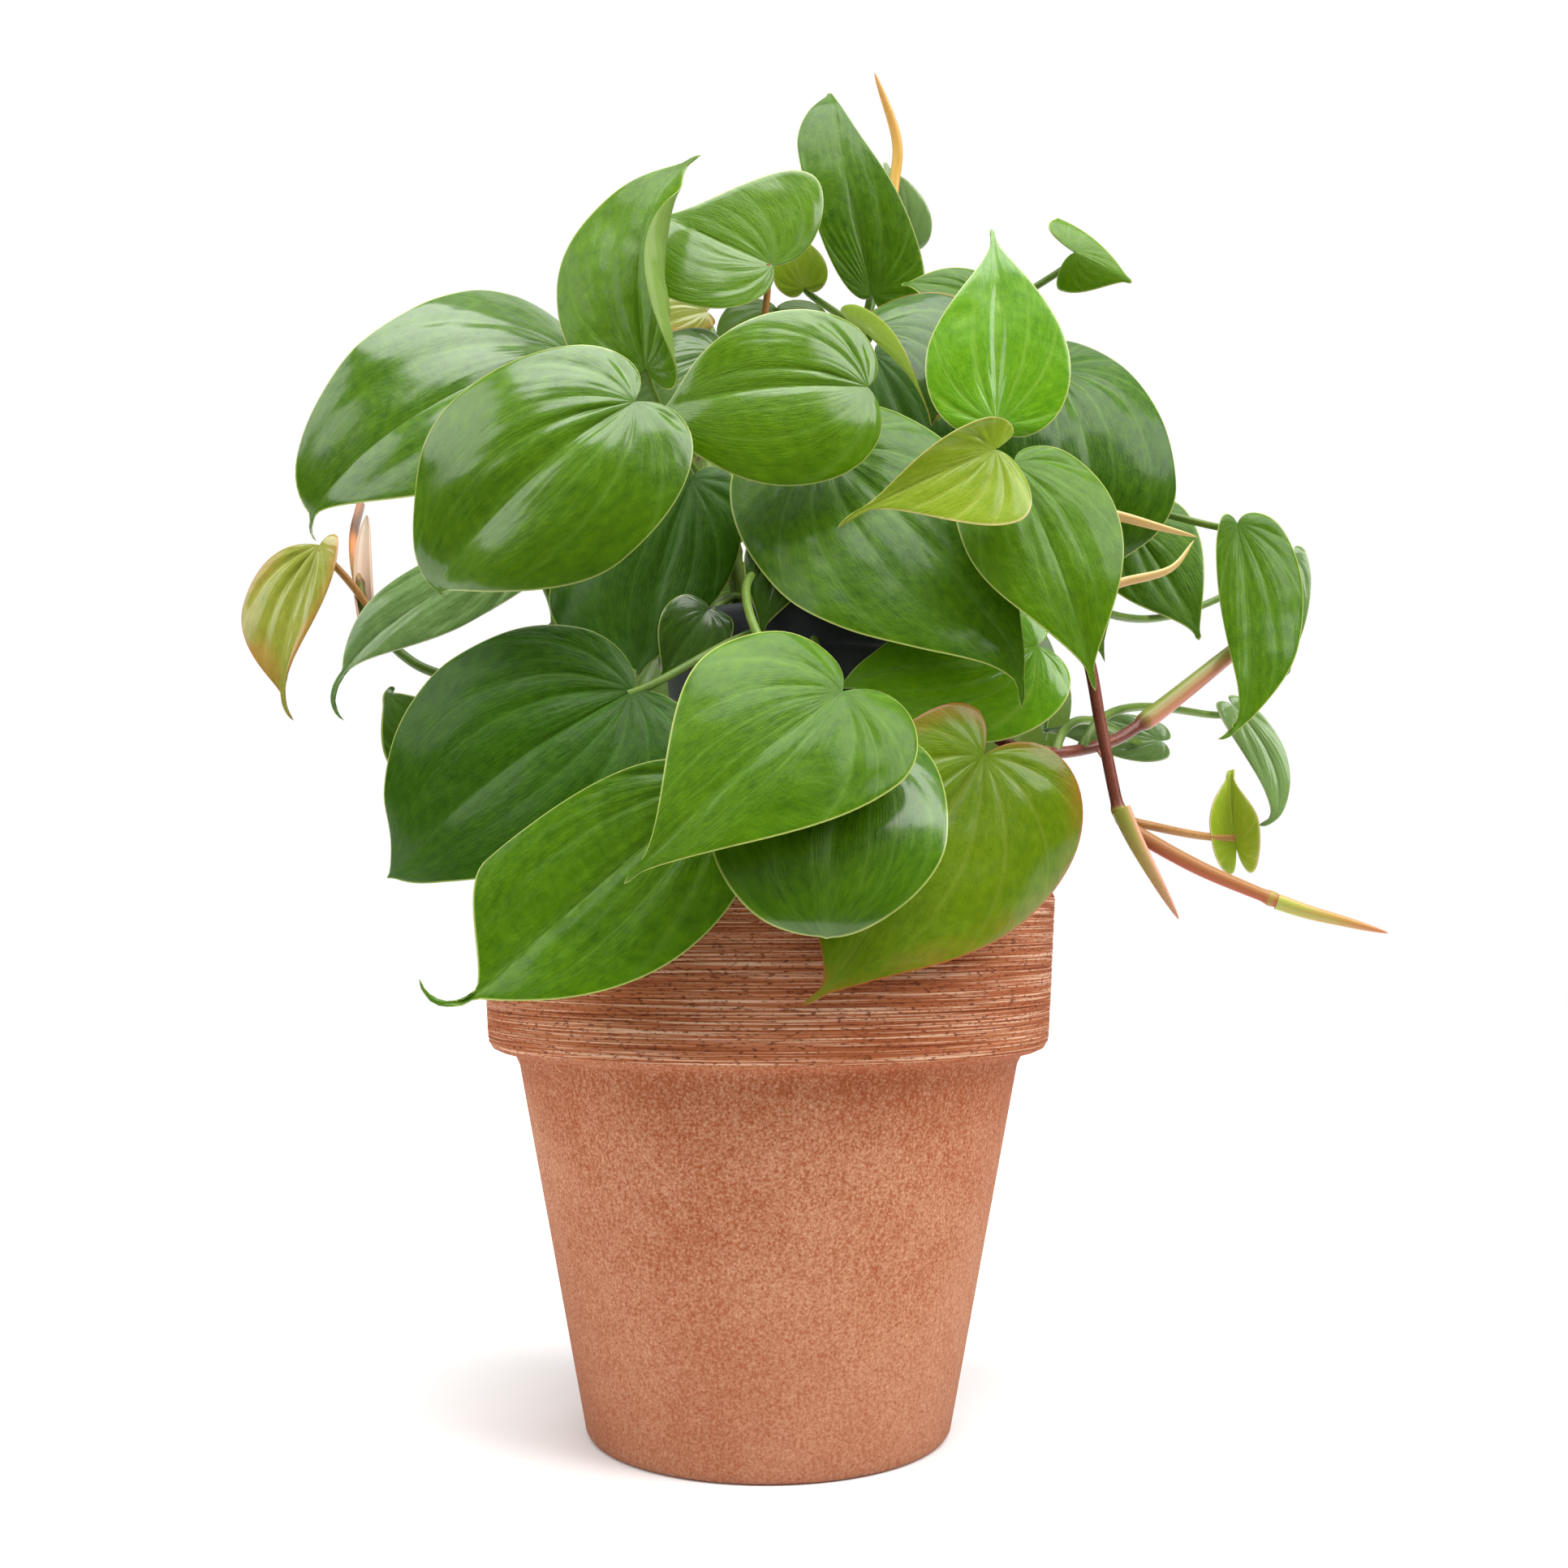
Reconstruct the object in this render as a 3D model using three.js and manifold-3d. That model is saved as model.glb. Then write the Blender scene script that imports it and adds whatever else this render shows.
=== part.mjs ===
// A heartleaf philodendron in its grey nursery pot, standing in a terracotta cover pot.
// Millimetres, +Z up. The origin is the centre of the terracotta foot, on the floor, and -Y is the front.
import * as THREE from "three";
import Module from "manifold-3d";

const wasm = await Module();
wasm.setup();

// Terracotta cover pot: a tapered body under a tall combed band.
const POT_HEIGHT = 166;
const FOOT_RADIUS = 56;
const WALL_TOP_RADIUS = 78.6;
const BAND_BOTTOM = 117;
const BAND_BOTTOM_RADIUS = 87.2;
const RIM_RADIUS = 90;
const CLAY_WALL = 8;
const FLOOR_THICKNESS = 12;
const FILL_TOP = 144;

// Nursery pot of thin grey plastic, a little to the right of the cover pot's axis.
const NURSERY_X = 18;
const NURSERY_FOOT = 139.3;
const NURSERY_RIM = 250;
const NURSERY_FOOT_RADIUS = 42;
const NURSERY_RIM_RADIUS = 54;
const PLASTIC_WALL = 1.8;
const SOIL_TOP = 240;

// Leaves and stems.
const BLADE_THICKNESS = 0.9;
const PETIOLE_RADIUS = 1.25;
const CLEARANCE = 0.3;
const SLIVER = 0.03;
const DRAIN_RADIUS = 5;

// Half of a heart-shaped blade, flat: along the midrib from notch to tip, and across it,
// as shares of the blade's length and of its half width.
const HEART = [
  [0, 0],
  [-0.06, 0.09],
  [-0.15, 0.25],
  [-0.2, 0.48],
  [-0.16, 0.73],
  [-0.02, 0.95],
  [0.15, 1],
  [0.35, 0.89],
  [0.55, 0.66],
  [0.72, 0.375],
  [0.84, 0.18],
  [0.92, 0.075],
  [1, 0],
];

// Stems, from the foot in the soil to the growing end: name, colour, radius at foot and end, points.
const STEMS = [
  ["stem_left_front", "stem", 2.6, 2.2, [[-6, -20, 228], [-9, -24, 256], [-15, -24, 280], [-21, -18, 304]]],
  ["stem_front", "stem", 2.6, 2.2, [[10, -30, 228], [9, -34, 254], [6, -34, 278]]],
  ["stem_centre", "stem", 2.6, 2.2, [[20, -8, 228], [18, -12, 262], [14, -14, 292], [18, -8, 324]]],
  ["stem_right_front", "stem", 2.6, 2.2, [[38, -28, 228], [42, -30, 254], [46, -28, 278]]],
  ["leafy_stem_right", "stem", 2.6, 1.8, [[44, 14, 228], [48, 14, 262], [52, 12, 300], [58, 12, 336]]],
  ["leafy_stem_left", "stem", 2.6, 1.8, [[-8, 14, 228], [-10, 14, 264], [-14, 16, 300], [-18, 20, 340]]],
  ["leafy_stem_back", "stem", 2.6, 1.6,
    [[22, 26, 228], [24, 28, 266], [26, 34, 306], [30, 42, 350], [42, 56, 400]]],
  ["vine_right", "vine", 2.2, 2.1, [[58, -12, 228], [60, -14, 250], [70, -24, 265], [84, -32, 258],
    [96, -35, 238], [101, -38, 208], [105, -40, 189], [127, -44, 172], [148, -48, 162]]],
  ["vine_lower_right", "vine", 2.2, 2.8, [[50, -29, 228], [54, -36, 254], [56, -43, 259], [58, -43, 246],
    [60, -42, 228], [67, -44, 211], [80, -42, 206], [99, -30, 209], [115, -20, 217], [148, -6, 242]]],
  ["vine_left", "vine", 2.1, 2, [[-22, -6, 228], [-28, -9, 250], [-42, -14, 262], [-62, -22, 251],
    [-84, -30, 237], [-104, -32, 238], [-118, -30, 248], [-124, -26, 262], [-131, -16, 280],
    [-134, -11, 291]]],
];

// Papery sheaths and the rolled new leaf: name, colour, widest half width, points from base to point.
const SHEATHS = [
  ["sheath_top", "sheath", 1.9, [[42, 56, 399.5], [45, 60, 424], [46, 60, 442], [38, 58, 466]]],
  ["sheath_right_upper", "sheath", 2, [[86, -33, 256], [85, -29, 270], [95, -27, 283], [108, -25, 281],
    [122, -22, 278], [134, -18, 276]]],
  ["sheath_right_lower", "sheath", 2, [[91, -33, 250], [98, -30, 255], [108, -26, 260], [124, -22, 265],
    [133, -18, 273]]],
  ["sheath_left", "sheath", 2.6,
    [[-119, -31.5, 247], [-122, -32, 258], [-125, -30, 270], [-125, -24, 281]]],
  ["sheath_vine", "sheath", 2.6, [[106, -43, 188], [108, -45, 179], [112, -46, 168], [118, -48, 157]]],
  ["new_leaf_vine", "new_leaf", 2,
    [[148.4, -48.1, 161.8], [156, -49.5, 159], [167, -51, 156], [178, -52, 153]]],
];

// Leaves: name, colour, notch, tip, direction that the upper face looks in, half width left and right
// of the midrib, turn of the midrib in degrees, fullness of the two halves, stem, place on the stem,
// and for some leaves: fold (rise of each half, degrees), curl (turn over each half), sway (sideways
// turn), hook (extra turn of the drip tip, down and sideways), lobe (length of the lobes), lift.
const LEAVES = [
  ["leaf_left_back", "mid", [-68, 20, 345], [-152, 15, 283], [-0.2, -1, 0.2], [38, 45], 100, [0.65, 0.65],
    "leafy_stem_left", 0.6, { hook: [0, -70] }],
  ["leaf_left_front", "mid", [-36, -84, 298], [-89, -66, 247], [-0.2, -1, 0.05], [42, 37], 100, [0.8, 0.6],
    "stem_left_front", 0.95, { curl: [-30, -30], lobe: 0.3 }],
  ["leaf_left_upright", "mid", [-39, -18, 327], [-23, 4, 410], [-0.1, -1, 0.2], [26, 18], 20, [0.8, 0.8],
    "leafy_stem_left", 0.6, { fold: [5, 75], curl: [-30, 60], hook: [0, 50], sway: 50,
      rise: [-5, -10, 0], reach: [3, 8, -14] }],
  ["leaf_top_left", "mid", [1, 8, 374], [-43, 14, 395], [0, -1, 0.1], [22, 31], 40, [0.7, 0.7],
    "leafy_stem_left", 0.9, { fold: [5, 5] }],
  ["leaf_top", "dark", [29, 34, 373], [21, 50, 453], [0, -1, 0.1], [17, 26], 60, [0.55, 0.85],
    "leafy_stem_back", 0.7, {}],
  ["leaf_top_small", "light", [49, 66, 405], [42, 66, 436], [0, -1, 0.3], [12, 12], 40, [0.8, 0.8],
    "leafy_stem_back", 0.9, {}],
  ["leaf_centre", "mid", [30, -62, 310], [-31, -64, 300], [0, -1, 0.1], [31, 26], 70, [0.68, 0.68],
    "stem_centre", 0.65, { lobe: 0.4, rise: [2, -6, 26], reach: [-2, 16, 12] }],
  ["leaf_right_upright", "light", [70, -36, 305], [70, -20, 374], [0, -1, 0.2], [25, 24], 40, [1, 1],
    "stem_right_front", 0.92, {}],
  ["leaf_centre_folded", "mid", [31, -12, 348], [50, -24, 307], [0.1, -1, 0.3], [30, 14], 20, [0.8, 0.8],
    "stem_centre", 0.9, { fold: [0, 60], curl: [-20, 60], lobe: 1 }],
  ["leaf_top_right_small", "mid", [73, 20, 367], [45, 26, 374], [0, -1, 0.5], [12, 12], 30, [0.8, 0.8],
    "leafy_stem_right", 0.8, {}],
  ["leaf_arrow", "mid", [104, 10, 379], [121, 6, 366], [0, -1, 0.3], [14, 10], 10, [0.8, 0.8],
    "leafy_stem_right", 0.97, { fold: [0, -30], lobe: 4, lift: 0 }],
  ["leaf_right_back", "dark", [98, 2, 334], [103, -8, 262], [0.1, -1, 0.2], [28, 34], 60, [0.6, 0.6],
    "leafy_stem_right", 0.6, {}],
  ["leaf_young_folded", "young", [62, -84, 283], [20, -84, 264], [0, -1, 0.2], [18, 11], 20, [0.9, 0.9],
    "stem_centre", 0.9, { fold: [-5, 20], curl: [-20, 20], hook: [0, -20], sway: -20,
      rise: [17, -9, 20], reach: [-10, 12, 42] }],
  ["leaf_right_front", "mid", [73, -66, 279], [91, -74, 221], [0.1, -1, 0.2], [24, 23], 40, [0.85, 0.85],
    "stem_right_front", 0.95, { rise: [30, -8, 8], reach: [18, 8, 8] }],
  ["leaf_centre_large", "dark", [19, -44, 296], [72, -68, 217], [0.1, -1, 0.2], [34, 46], 50, [0.8, 0.8],
    "stem_centre", 0.45, { hook: [20, 40] }],
  ["leaf_right_small", "dark", [122, 20, 286], [142, 10, 248], [0, -1, 0.3], [16, 17], 30, [0.75, 0.75],
    "leafy_stem_right", 0.45, {}],
  ["leaf_far_right", "mid", [149, -8, 280], [138, -20, 212], [0.1, -1, 0.1], [18, 10], 20, [0.8, 0.8],
    "leafy_stem_right", 0.55, { hook: [0, 40], sway: 30, lobe: 0.4 }],
  ["leaf_far_right_edge", "grey", [183, 30, 281], [179, 28, 239], [0, -1, 0.3], [6, 9], 40, [0.8, 0.8],
    "vine_right", 0.36, { rise: [32, 24, -12], reach: [-43, 14, -26] }],
  ["leaf_left_dark", "dark", [-23, -30, 293], [-38, -46, 227], [0, -1, 0.1], [22, 36], 40, [0.8, 0.5],
    "stem_left_front", 0.6, {}],
  ["leaf_left_narrow", "mid", [-72, -42, 264], [-124, -46, 214], [0, -1, 0.3], [12, 14], 30, [0.6, 0.6],
    "vine_left", 0.35, { hook: [0, -80] }],
  ["leaf_far_left_bronze", "bronze", [-138, -28, 270], [-142, -34, 216], [0, -1, 0.3], [9, 17], 20,
    [0.9, 0.9], "vine_left", 0.8, { hook: [0, -50], sway: -10, lobe: 0.3 }],
  ["leaf_left_curled", "dark", [-95, -48, 206], [-109, -48, 224], [0, -1, 0.3], [14, 9], 40, [0.8, 0.8],
    "vine_left", 0.55, { hook: [0, 170] }],
  ["leaf_lower_left_back", "dark", [-37, -74, 220], [-106, -64, 168], [-0.1, -1, 0.2], [42, 36], 80,
    [0.8, 0.6], "stem_front", 0.9, { lobe: 0.3, rise: [-9, -14, 5], reach: [0, 2, 28] }],
  ["leaf_lower_left_front", "mid", [-21, -95, 201], [-89, -97, 142], [-0.1, -1, 0.2], [38, 21], 40,
    [0.72, 0.72], "stem_front", 0.75, { hook: [0, 90], lobe: 0.3, rise: [-8, -14, 16] }],
  ["leaf_lower_centre", "light", [20, -110, 216], [-34, -118, 166], [0, -1, 0.3], [30, 29], 30, [0.9, 0.9],
    "stem_front", 0.6, { rise: [5, -12, 18] }],
  ["leaf_lower_dark", "dark", [29, -88, 200], [14, -106, 153], [0, -1, 0.2], [30, 34], 80, [0.52, 0.52],
    "stem_front", 0.5, { curl: [-10, -20], rise: [12, -14, 20], reach: [0, 2, 24] }],
  ["leaf_lower_right_olive", "olive", [59, -72, 204], [9, -96, 135], [0.1, -1, 0.2], [42, 29], 40,
    [0.85, 0.85], "stem_right_front", 0.45, { hook: [0, 30], rise: [20, -22, 28], reach: [-9, 21, -14],
      curl: [-25, -10] }],
  ["leaf_lower_right_back", "mid", [80, -52, 236], [23, -57, 215], [0, -1, 0.3], [22, 21], 50, [0.7, 0.7],
    "stem_right_front", 0.6, { rise: [14, -6, 20] }],
  ["leaf_inner_pointed", "dark", [5, -52, 269], [-2, -58, 238], [0, -1, 0.3], [12, 10], 40, [0.8, 0.8],
    "stem_front", 0.3, { rise: [-4, -6, 10], reach: [-1, 8, -8] }],
  ["leaf_inner_dark", "dark", [-18, -54, 249], [-32, -56, 228], [0, -1, 0.3], [11, 11], 40, [0.8, 0.8],
    "stem_left_front", 0.3, { fold: [12, 12] }],
  ["leaf_vine_grey", "grey", [132, 30, 217], [93, 35, 221], [0, -1, 0.3], [9, 8], 40, [0.8, 0.8],
    "vine_lower_right", 0.7, {}],
  ["leaf_vine_hanging", "grey", [153, 15, 227], [158, 5, 187], [0, -1, 0.3], [7, 12], 40, [0.6, 0.6],
    "vine_lower_right", 0.75, { hook: [0, 90], sway: 60 }],
  ["leaf_vine_young", "young", [143, -25, 178], [144, -25, 202], [0, -1, 0.3], [9, 10], 40, [0.8, 0.8],
    "vine_right", 0.66, { fold: [50, 50], lobe: 1.6 }],
  ["leaf_inner_bronze", "bronze", [-23, 45, 371], [-46, 48, 363], [0, -1, 0.3], [8, 12], 40, [0.8, 0.8],
    "leafy_stem_left", 0.98, {}],
  ["leaf_inner_grey", "grey", [-17, 5, 343], [-55, 0, 321], [0, -1, 0.3], [18, 14], 40, [0.8, 0.8],
    "leafy_stem_left", 0.55, {}],
  ["leaf_inner_young", "young", [12, 44, 380], [5, 46, 402], [0, -1, 0.3], [10, 10], 40, [0.8, 0.8],
    "leafy_stem_back", 0.8, {}],
  ["leaf_rear_1", "back", [-48, 50, 322], [-92, 82, 262], [-0.5, 1, 0.5], [30, 30], 50, [0.8, 0.8],
    "leafy_stem_left", 0.5, { grown: true }],
  ["leaf_rear_2", "back", [0, 66, 345], [-22, 112, 290], [-0.2, 1, 0.6], [30, 30], 50, [0.8, 0.8],
    "leafy_stem_back", 0.5, { grown: true }],
  ["leaf_rear_3", "back", [48, 70, 322], [52, 116, 262], [0.1, 1, 0.5], [29, 30], 50, [0.8, 0.8],
    "leafy_stem_back", 0.45, { grown: true }],
  ["leaf_rear_4", "back", [88, 52, 312], [124, 84, 252], [0.6, 1, 0.5], [28, 28], 50, [0.8, 0.8],
    "leafy_stem_right", 0.5, { grown: true }],
  ["leaf_rear_5", "back", [-38, 60, 258], [-66, 98, 196], [-0.4, 1, 0.5], [30, 30], 60, [0.8, 0.8],
    "leafy_stem_left", 0.3, { grown: true }],
  ["leaf_rear_6", "back", [20, 76, 270], [16, 116, 206], [0, 1, 0.5], [31, 31], 60, [0.8, 0.8],
    "leafy_stem_back", 0.3, { grown: true }],
  ["leaf_rear_7", "back", [74, 60, 252], [98, 96, 190], [0.4, 1, 0.5], [28, 28], 60, [0.8, 0.8],
    "leafy_stem_right", 0.3, { grown: true }],
  ["leaf_rear_8", "back", [96, 34, 262], [132, 58, 214], [0.8, 0.6, 0.8], [22, 22], 50, [0.8, 0.8],
    "leafy_stem_right", 0.4, { grown: true }],
  ["leaf_rear_9", "back", [-72, 14, 272], [-122, 24, 226], [-0.8, 0.6, 0.8], [24, 24], 50, [0.8, 0.8],
    "leafy_stem_left", 0.4, { grown: true }],
  ["leaf_rear_10", "back", [2, 60, 378], [0, 104, 340], [0, 0.7, 1], [22, 22], 50, [0.8, 0.8],
    "leafy_stem_back", 0.55, { grown: true }],
  ["leaf_rear_11", "dark", [44, 14, 338], [66, 8, 286], [0.1, -1, 0.3], [24, 24], 30, [0.8, 0.8],
    "leafy_stem_right", 0.6, { grown: true }],
];
const LEAF_DEFAULTS = { fold: [8, 8], curl: [-25, -25], sway: 0, hook: [0, 0], lobe: 0.6, lift: -2 };

const material = (color, roughness, metalness = 0) =>
  new THREE.MeshStandardMaterial({ color, roughness, metalness });

const COLOURS = {
  clay: material("#b96f4f", 0.85),
  soil: material("#2e211b", 0.95),
  plastic: material("#3a4047", 0.5),
  mid: material("#3f7a26", 0.35),
  dark: material("#2b5a22", 0.35),
  light: material("#69a528", 0.35),
  young: material("#a9b93c", 0.4),
  bronze: material("#9c8a3c", 0.4),
  grey: material("#6f8a5c", 0.45),
  olive: material("#6f7f1c", 0.35),
  stem: material("#4f6b2b", 0.5),
  vine: material("#7c4636", 0.45),
  sheath: material("#d79a63", 0.55),
  new_leaf: material("#c4b552", 0.45),
};

const vector = (point) => new THREE.Vector3(...point);

// A closed surface, given by its points and faces, as a solid for joining and cutting.
function solidOf(points, faces) {
  const vertProperties = new Float32Array(points.flatMap((p) => [p.x, p.y, p.z]));
  const triVerts = new Uint32Array(faces.flat());
  return new wasm.Manifold(new wasm.Mesh({ numProp: 3, vertProperties, triVerts }));
}

// A named mesh of one solid in one colour, without the slivers that cutting leaves.
function meshOf(name, solid, colour) {
  const made = solid.simplify(SLIVER).getMesh();
  const positions = new Float32Array(made.numVert * 3);
  for (let i = 0; i < made.numVert; i++)
    positions.set(made.vertProperties.subarray(i * made.numProp, i * made.numProp + 3), i * 3);
  const geometry = new THREE.BufferGeometry();
  geometry.setAttribute("position", new THREE.BufferAttribute(positions, 3));
  geometry.setIndex(new THREE.BufferAttribute(made.triVerts, 1));
  geometry.computeVertexNormals();
  const mesh = new THREE.Mesh(geometry, COLOURS[colour]);
  mesh.name = name;
  return mesh;
}

// A solid of revolution from a closed profile of [radius, height] pairs about a vertical axis at x.
function turned(profile, sides, x = 0) {
  const points = [];
  const rows = profile.map(([radius, height]) => {
    if (radius === 0) return [points.push(new THREE.Vector3(x, 0, height)) - 1];
    return Array.from({ length: sides }, (_, i) => {
      const turn = (2 * Math.PI * i) / sides;
      const place = new THREE.Vector3(x + radius * Math.cos(turn), radius * Math.sin(turn), height);
      return points.push(place) - 1;
    });
  });
  const faces = [];
  for (let r = 0; r + 1 < rows.length; r++)
    for (let i = 0; i < sides; i++) {
      const a = rows[r][i % rows[r].length];
      const b = rows[r][(i + 1) % rows[r].length];
      const c = rows[r + 1][(i + 1) % rows[r + 1].length];
      const d = rows[r + 1][i % rows[r + 1].length];
      if (a !== b) faces.push([a, b, c]);
      if (c !== d) faces.push([a, c, d]);
    }
  return solidOf(points, faces);
}

// A closed tube along points, with a radius and a flattening for each point.
function tube(points, radii, sides, flat = 1) {
  const vertices = [];
  let across = null;
  points.forEach((point, i) => {
    const before = points[Math.max(i - 1, 0)];
    const after = points[Math.min(i + 1, points.length - 1)];
    const along = after.clone().sub(before).normalize();
    if (!across) across = vector(Math.abs(along.z) > 0.9 ? [1, 0, 0] : [0, 0, 1]);
    across = across.clone().addScaledVector(along, -across.dot(along)).normalize();
    const third = along.clone().cross(across);
    for (let k = 0; k < sides; k++) {
      const turn = (2 * Math.PI * (k + 0.5)) / sides;
      vertices.push(
        point
          .clone()
          .addScaledVector(across, radii[i] * Math.cos(turn))
          .addScaledVector(third, radii[i] * flat * Math.sin(turn)),
      );
    }
  });
  const faces = [];
  for (let i = 0; i + 1 < points.length; i++)
    for (let k = 0; k < sides; k++) {
      const a = i * sides + k;
      const b = i * sides + ((k + 1) % sides);
      faces.push([a, b, b + sides], [a, b + sides, a + sides]);
    }
  const last = (points.length - 1) * sides;
  for (let k = 1; k + 1 < sides; k++) faces.push([0, k + 1, k], [last, last + k, last + k + 1]);
  return solidOf(vertices, faces);
}

const smoothCurve = (points) => new THREE.CatmullRomCurve3(points.map(vector), false, "catmullrom", 0.5);

// A stem that narrows evenly from foot to end; extra widens it for a clearance hole.
function stemSolid([, , foot, end, points], extra = 0) {
  const steps = (points.length - 1) * 3;
  const line = smoothCurve(points).getPoints(steps);
  const radii = line.map((_, i) => foot + ((end - foot) * i) / steps + extra);
  if (extra > 0) {
    const down = line[0].clone().sub(line[1]).normalize();
    line[0] = line[0].clone().addScaledVector(down, extra);
  }
  return tube(line, radii, 6);
}

// A thin sheath: widest a third of the way up, running out to a point.
function sheathSolid([, , width, points]) {
  const steps = 8;
  const line = smoothCurve(points).getPoints(steps);
  const radii = line.map((_, i) => {
    const s = i / steps;
    return Math.max(0.35, width * (0.75 + 0.75 * s) * (1 - s) ** 0.6);
  });
  return tube(line, radii, 5, 0.55);
}

// The midrib as small steps: it turns down and sideways, more towards the tip, and is then
// scaled and turned so that it runs from notch to tip.
function midrib(leaf) {
  const steps = 60;
  const rad = THREE.MathUtils.degToRad;
  const directions = [];
  const ends = [new THREE.Vector3()];
  for (let i = 0; i < steps; i++) {
    const s = (i + 0.5) / steps;
    const late = Math.max(0, (s - 0.8) / 0.2) ** 1.5;
    const down = rad(leaf.bend * s ** 1.3 + leaf.hook[0] * late);
    const side = rad(leaf.sway * s ** 2 + leaf.hook[1] * late);
    const step = new THREE.Vector3(
      Math.cos(down) * Math.cos(side),
      -Math.sin(down),
      Math.cos(down) * Math.sin(side),
    ).divideScalar(steps);
    directions.push(step);
    ends.push(ends[i].clone().add(step));
  }
  const chord = ends[steps].clone().normalize();
  const up = new THREE.Vector3(0, 1, 0).addScaledVector(chord, -chord.y).normalize();
  const own = new THREE.Matrix4().makeBasis(chord, up, chord.clone().cross(up)).transpose();
  const span = leaf.tip.clone().sub(leaf.notch);
  const axis = span.clone().normalize();
  const face = leaf.face.clone().addScaledVector(axis, -leaf.face.dot(axis)).normalize();
  const placed = new THREE.Matrix4().makeBasis(axis, face, axis.clone().cross(face)).multiply(own);
  const scale = span.length() / ends[steps].length();
  return {
    scale,
    face,
    points: ends.map((p) => p.clone().applyMatrix4(placed).multiplyScalar(scale).add(leaf.notch)),
    directions: directions.map((d) => d.clone().applyMatrix4(placed).normalize()),
  };
}

// The frame of the blade at a share of its length: point on the midrib, direction, upward normal.
function midribFrame(leaf, rib, share) {
  const steps = rib.directions.length;
  if (share < 0) {
    const along = rib.directions[0];
    const up = rib.face.clone().addScaledVector(along, -rib.face.dot(along)).normalize();
    const point = rib.points[0].clone().addScaledVector(along, rib.scale * share * leaf.lobe);
    return { point: point.addScaledVector(up, leaf.lift * (share / 0.2) ** 2), along, up };
  }
  const x = Math.min(share, 1) * steps;
  const i = Math.min(Math.floor(x), steps - 1);
  const y = Math.min(Math.max(x - 0.5, 0), steps - 1.001);
  const k = Math.floor(y);
  const point = rib.points[i].clone().lerp(rib.points[i + 1], x - i);
  const along = rib.directions[k].clone().lerp(rib.directions[k + 1], y - k).normalize();
  const up = rib.face.clone().addScaledVector(along, -rib.face.dot(along)).normalize();
  return { point, along, up };
}

// A point of the blade's middle surface: each half rises by its fold and turns on by its curl.
function bladePoint(leaf, rib, share, across) {
  const side = across >= 0 ? 1 : 0;
  const { point, along, up } = midribFrame(leaf, rib, share);
  const out = along.clone().cross(up).multiplyScalar(side ? 1 : -1);
  const distance = Math.abs(across) * leaf.half[side];
  const fold = THREE.MathUtils.degToRad(leaf.fold[side]);
  const rate = THREE.MathUtils.degToRad(leaf.curl[side] || 0.01) / leaf.half[side];
  const reach = (Math.sin(fold + rate * distance) - Math.sin(fold)) / rate;
  const rise = (Math.cos(fold) - Math.cos(fold + rate * distance)) / rate;
  return point.addScaledVector(out, reach).addScaledVector(up, rise);
}

// Points round half a blade, evenly spaced along the heart outline; fullness rounds the tip end.
function halfOutline(count, fullness) {
  return smoothCurve(HEART.map(([a, c]) => [a, c, 0]))
    .getSpacedPoints(count)
    .slice(1)
    .map((p) => [p.x > 0 ? p.x ** fullness : p.x, Math.max(p.y, 0)]);
}

// The blade as one closed sheet of even thickness, with the same triangles on both faces.
function bladeSolid(leaf, rib, count, rings) {
  const right = halfOutline(count, leaf.fullness[1]);
  const left = halfOutline(count, leaf.fullness[0]).slice(0, -1).reverse();
  const round = [...right, ...left.map(([a, c]) => [a, -c])];
  const middle = [bladePoint(leaf, rib, 0, 0)];
  for (const ring of rings)
    for (const [a, c] of round) middle.push(bladePoint(leaf, rib, a * ring, c * ring));
  const faces = [];
  for (let i = 0; i + 1 < round.length; i++) {
    faces.push([0, 1 + i, 2 + i]);
    for (let r = 0; r + 1 < rings.length; r++) {
      const a = 1 + r * round.length + i;
      const b = a + round.length;
      faces.push([a, b, b + 1], [a, b + 1, a + 1]);
    }
  }
  const sheet = new THREE.BufferGeometry().setFromPoints(middle);
  sheet.setIndex(faces.flat());
  sheet.computeVertexNormals();
  const normals = sheet.getAttribute("normal");
  const normalAt = (i) => new THREE.Vector3().fromBufferAttribute(normals, i);
  const shifted = (amount) => middle.map((p, i) => p.clone().addScaledVector(normalAt(i), amount));
  const points = [...shifted(BLADE_THICKNESS / 2), ...shifted(-BLADE_THICKNESS / 2)];
  const n = middle.length;
  const edges = new Set(faces.flatMap(([a, b, c]) => [`${a} ${b}`, `${b} ${c}`, `${c} ${a}`]));
  const closed = [...faces, ...faces.map(([a, b, c]) => [c + n, b + n, a + n])];
  for (const edge of edges) {
    const [a, b] = edge.split(" ").map(Number);
    if (!edges.has(`${b} ${a}`)) closed.push([b, a, a + n], [b, a + n, b + n]);
  }
  return solidOf(points, closed);
}

// The leaf stalk: a smooth arch from the stem to the underside of the notch.
function petioleSolid(leaf, rib) {
  const stem = STEMS.find(([name]) => name === leaf.stem);
  const root = smoothCurve(stem[4]).getPoint(leaf.place);
  const { along, up } = midribFrame(leaf, rib, 0);
  const way = leaf.notch.clone().sub(root);
  const far = way.length();
  const rise = leaf.rise
    ? root.clone().add(vector(leaf.rise))
    : root.clone().addScaledVector(way, 0.15).add(new THREE.Vector3(0, 0, 0.3 * far));
  const reach = leaf.reach
    ? leaf.notch.clone().add(vector(leaf.reach))
    : leaf.notch.clone().addScaledVector(up, -0.3 * far).addScaledVector(along, -0.1 * far);
  const end = leaf.notch.clone().addScaledVector(up, -0.6).addScaledVector(along, 1.5);
  const steps = leaf.grown ? 5 : 6;
  const line = new THREE.CubicBezierCurve3(root, rise, reach, end).getPoints(steps);
  return tube(line, line.map((_, i) => PETIOLE_RADIUS * (1.15 - 0.25 * (i / steps))), 4);
}

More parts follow.
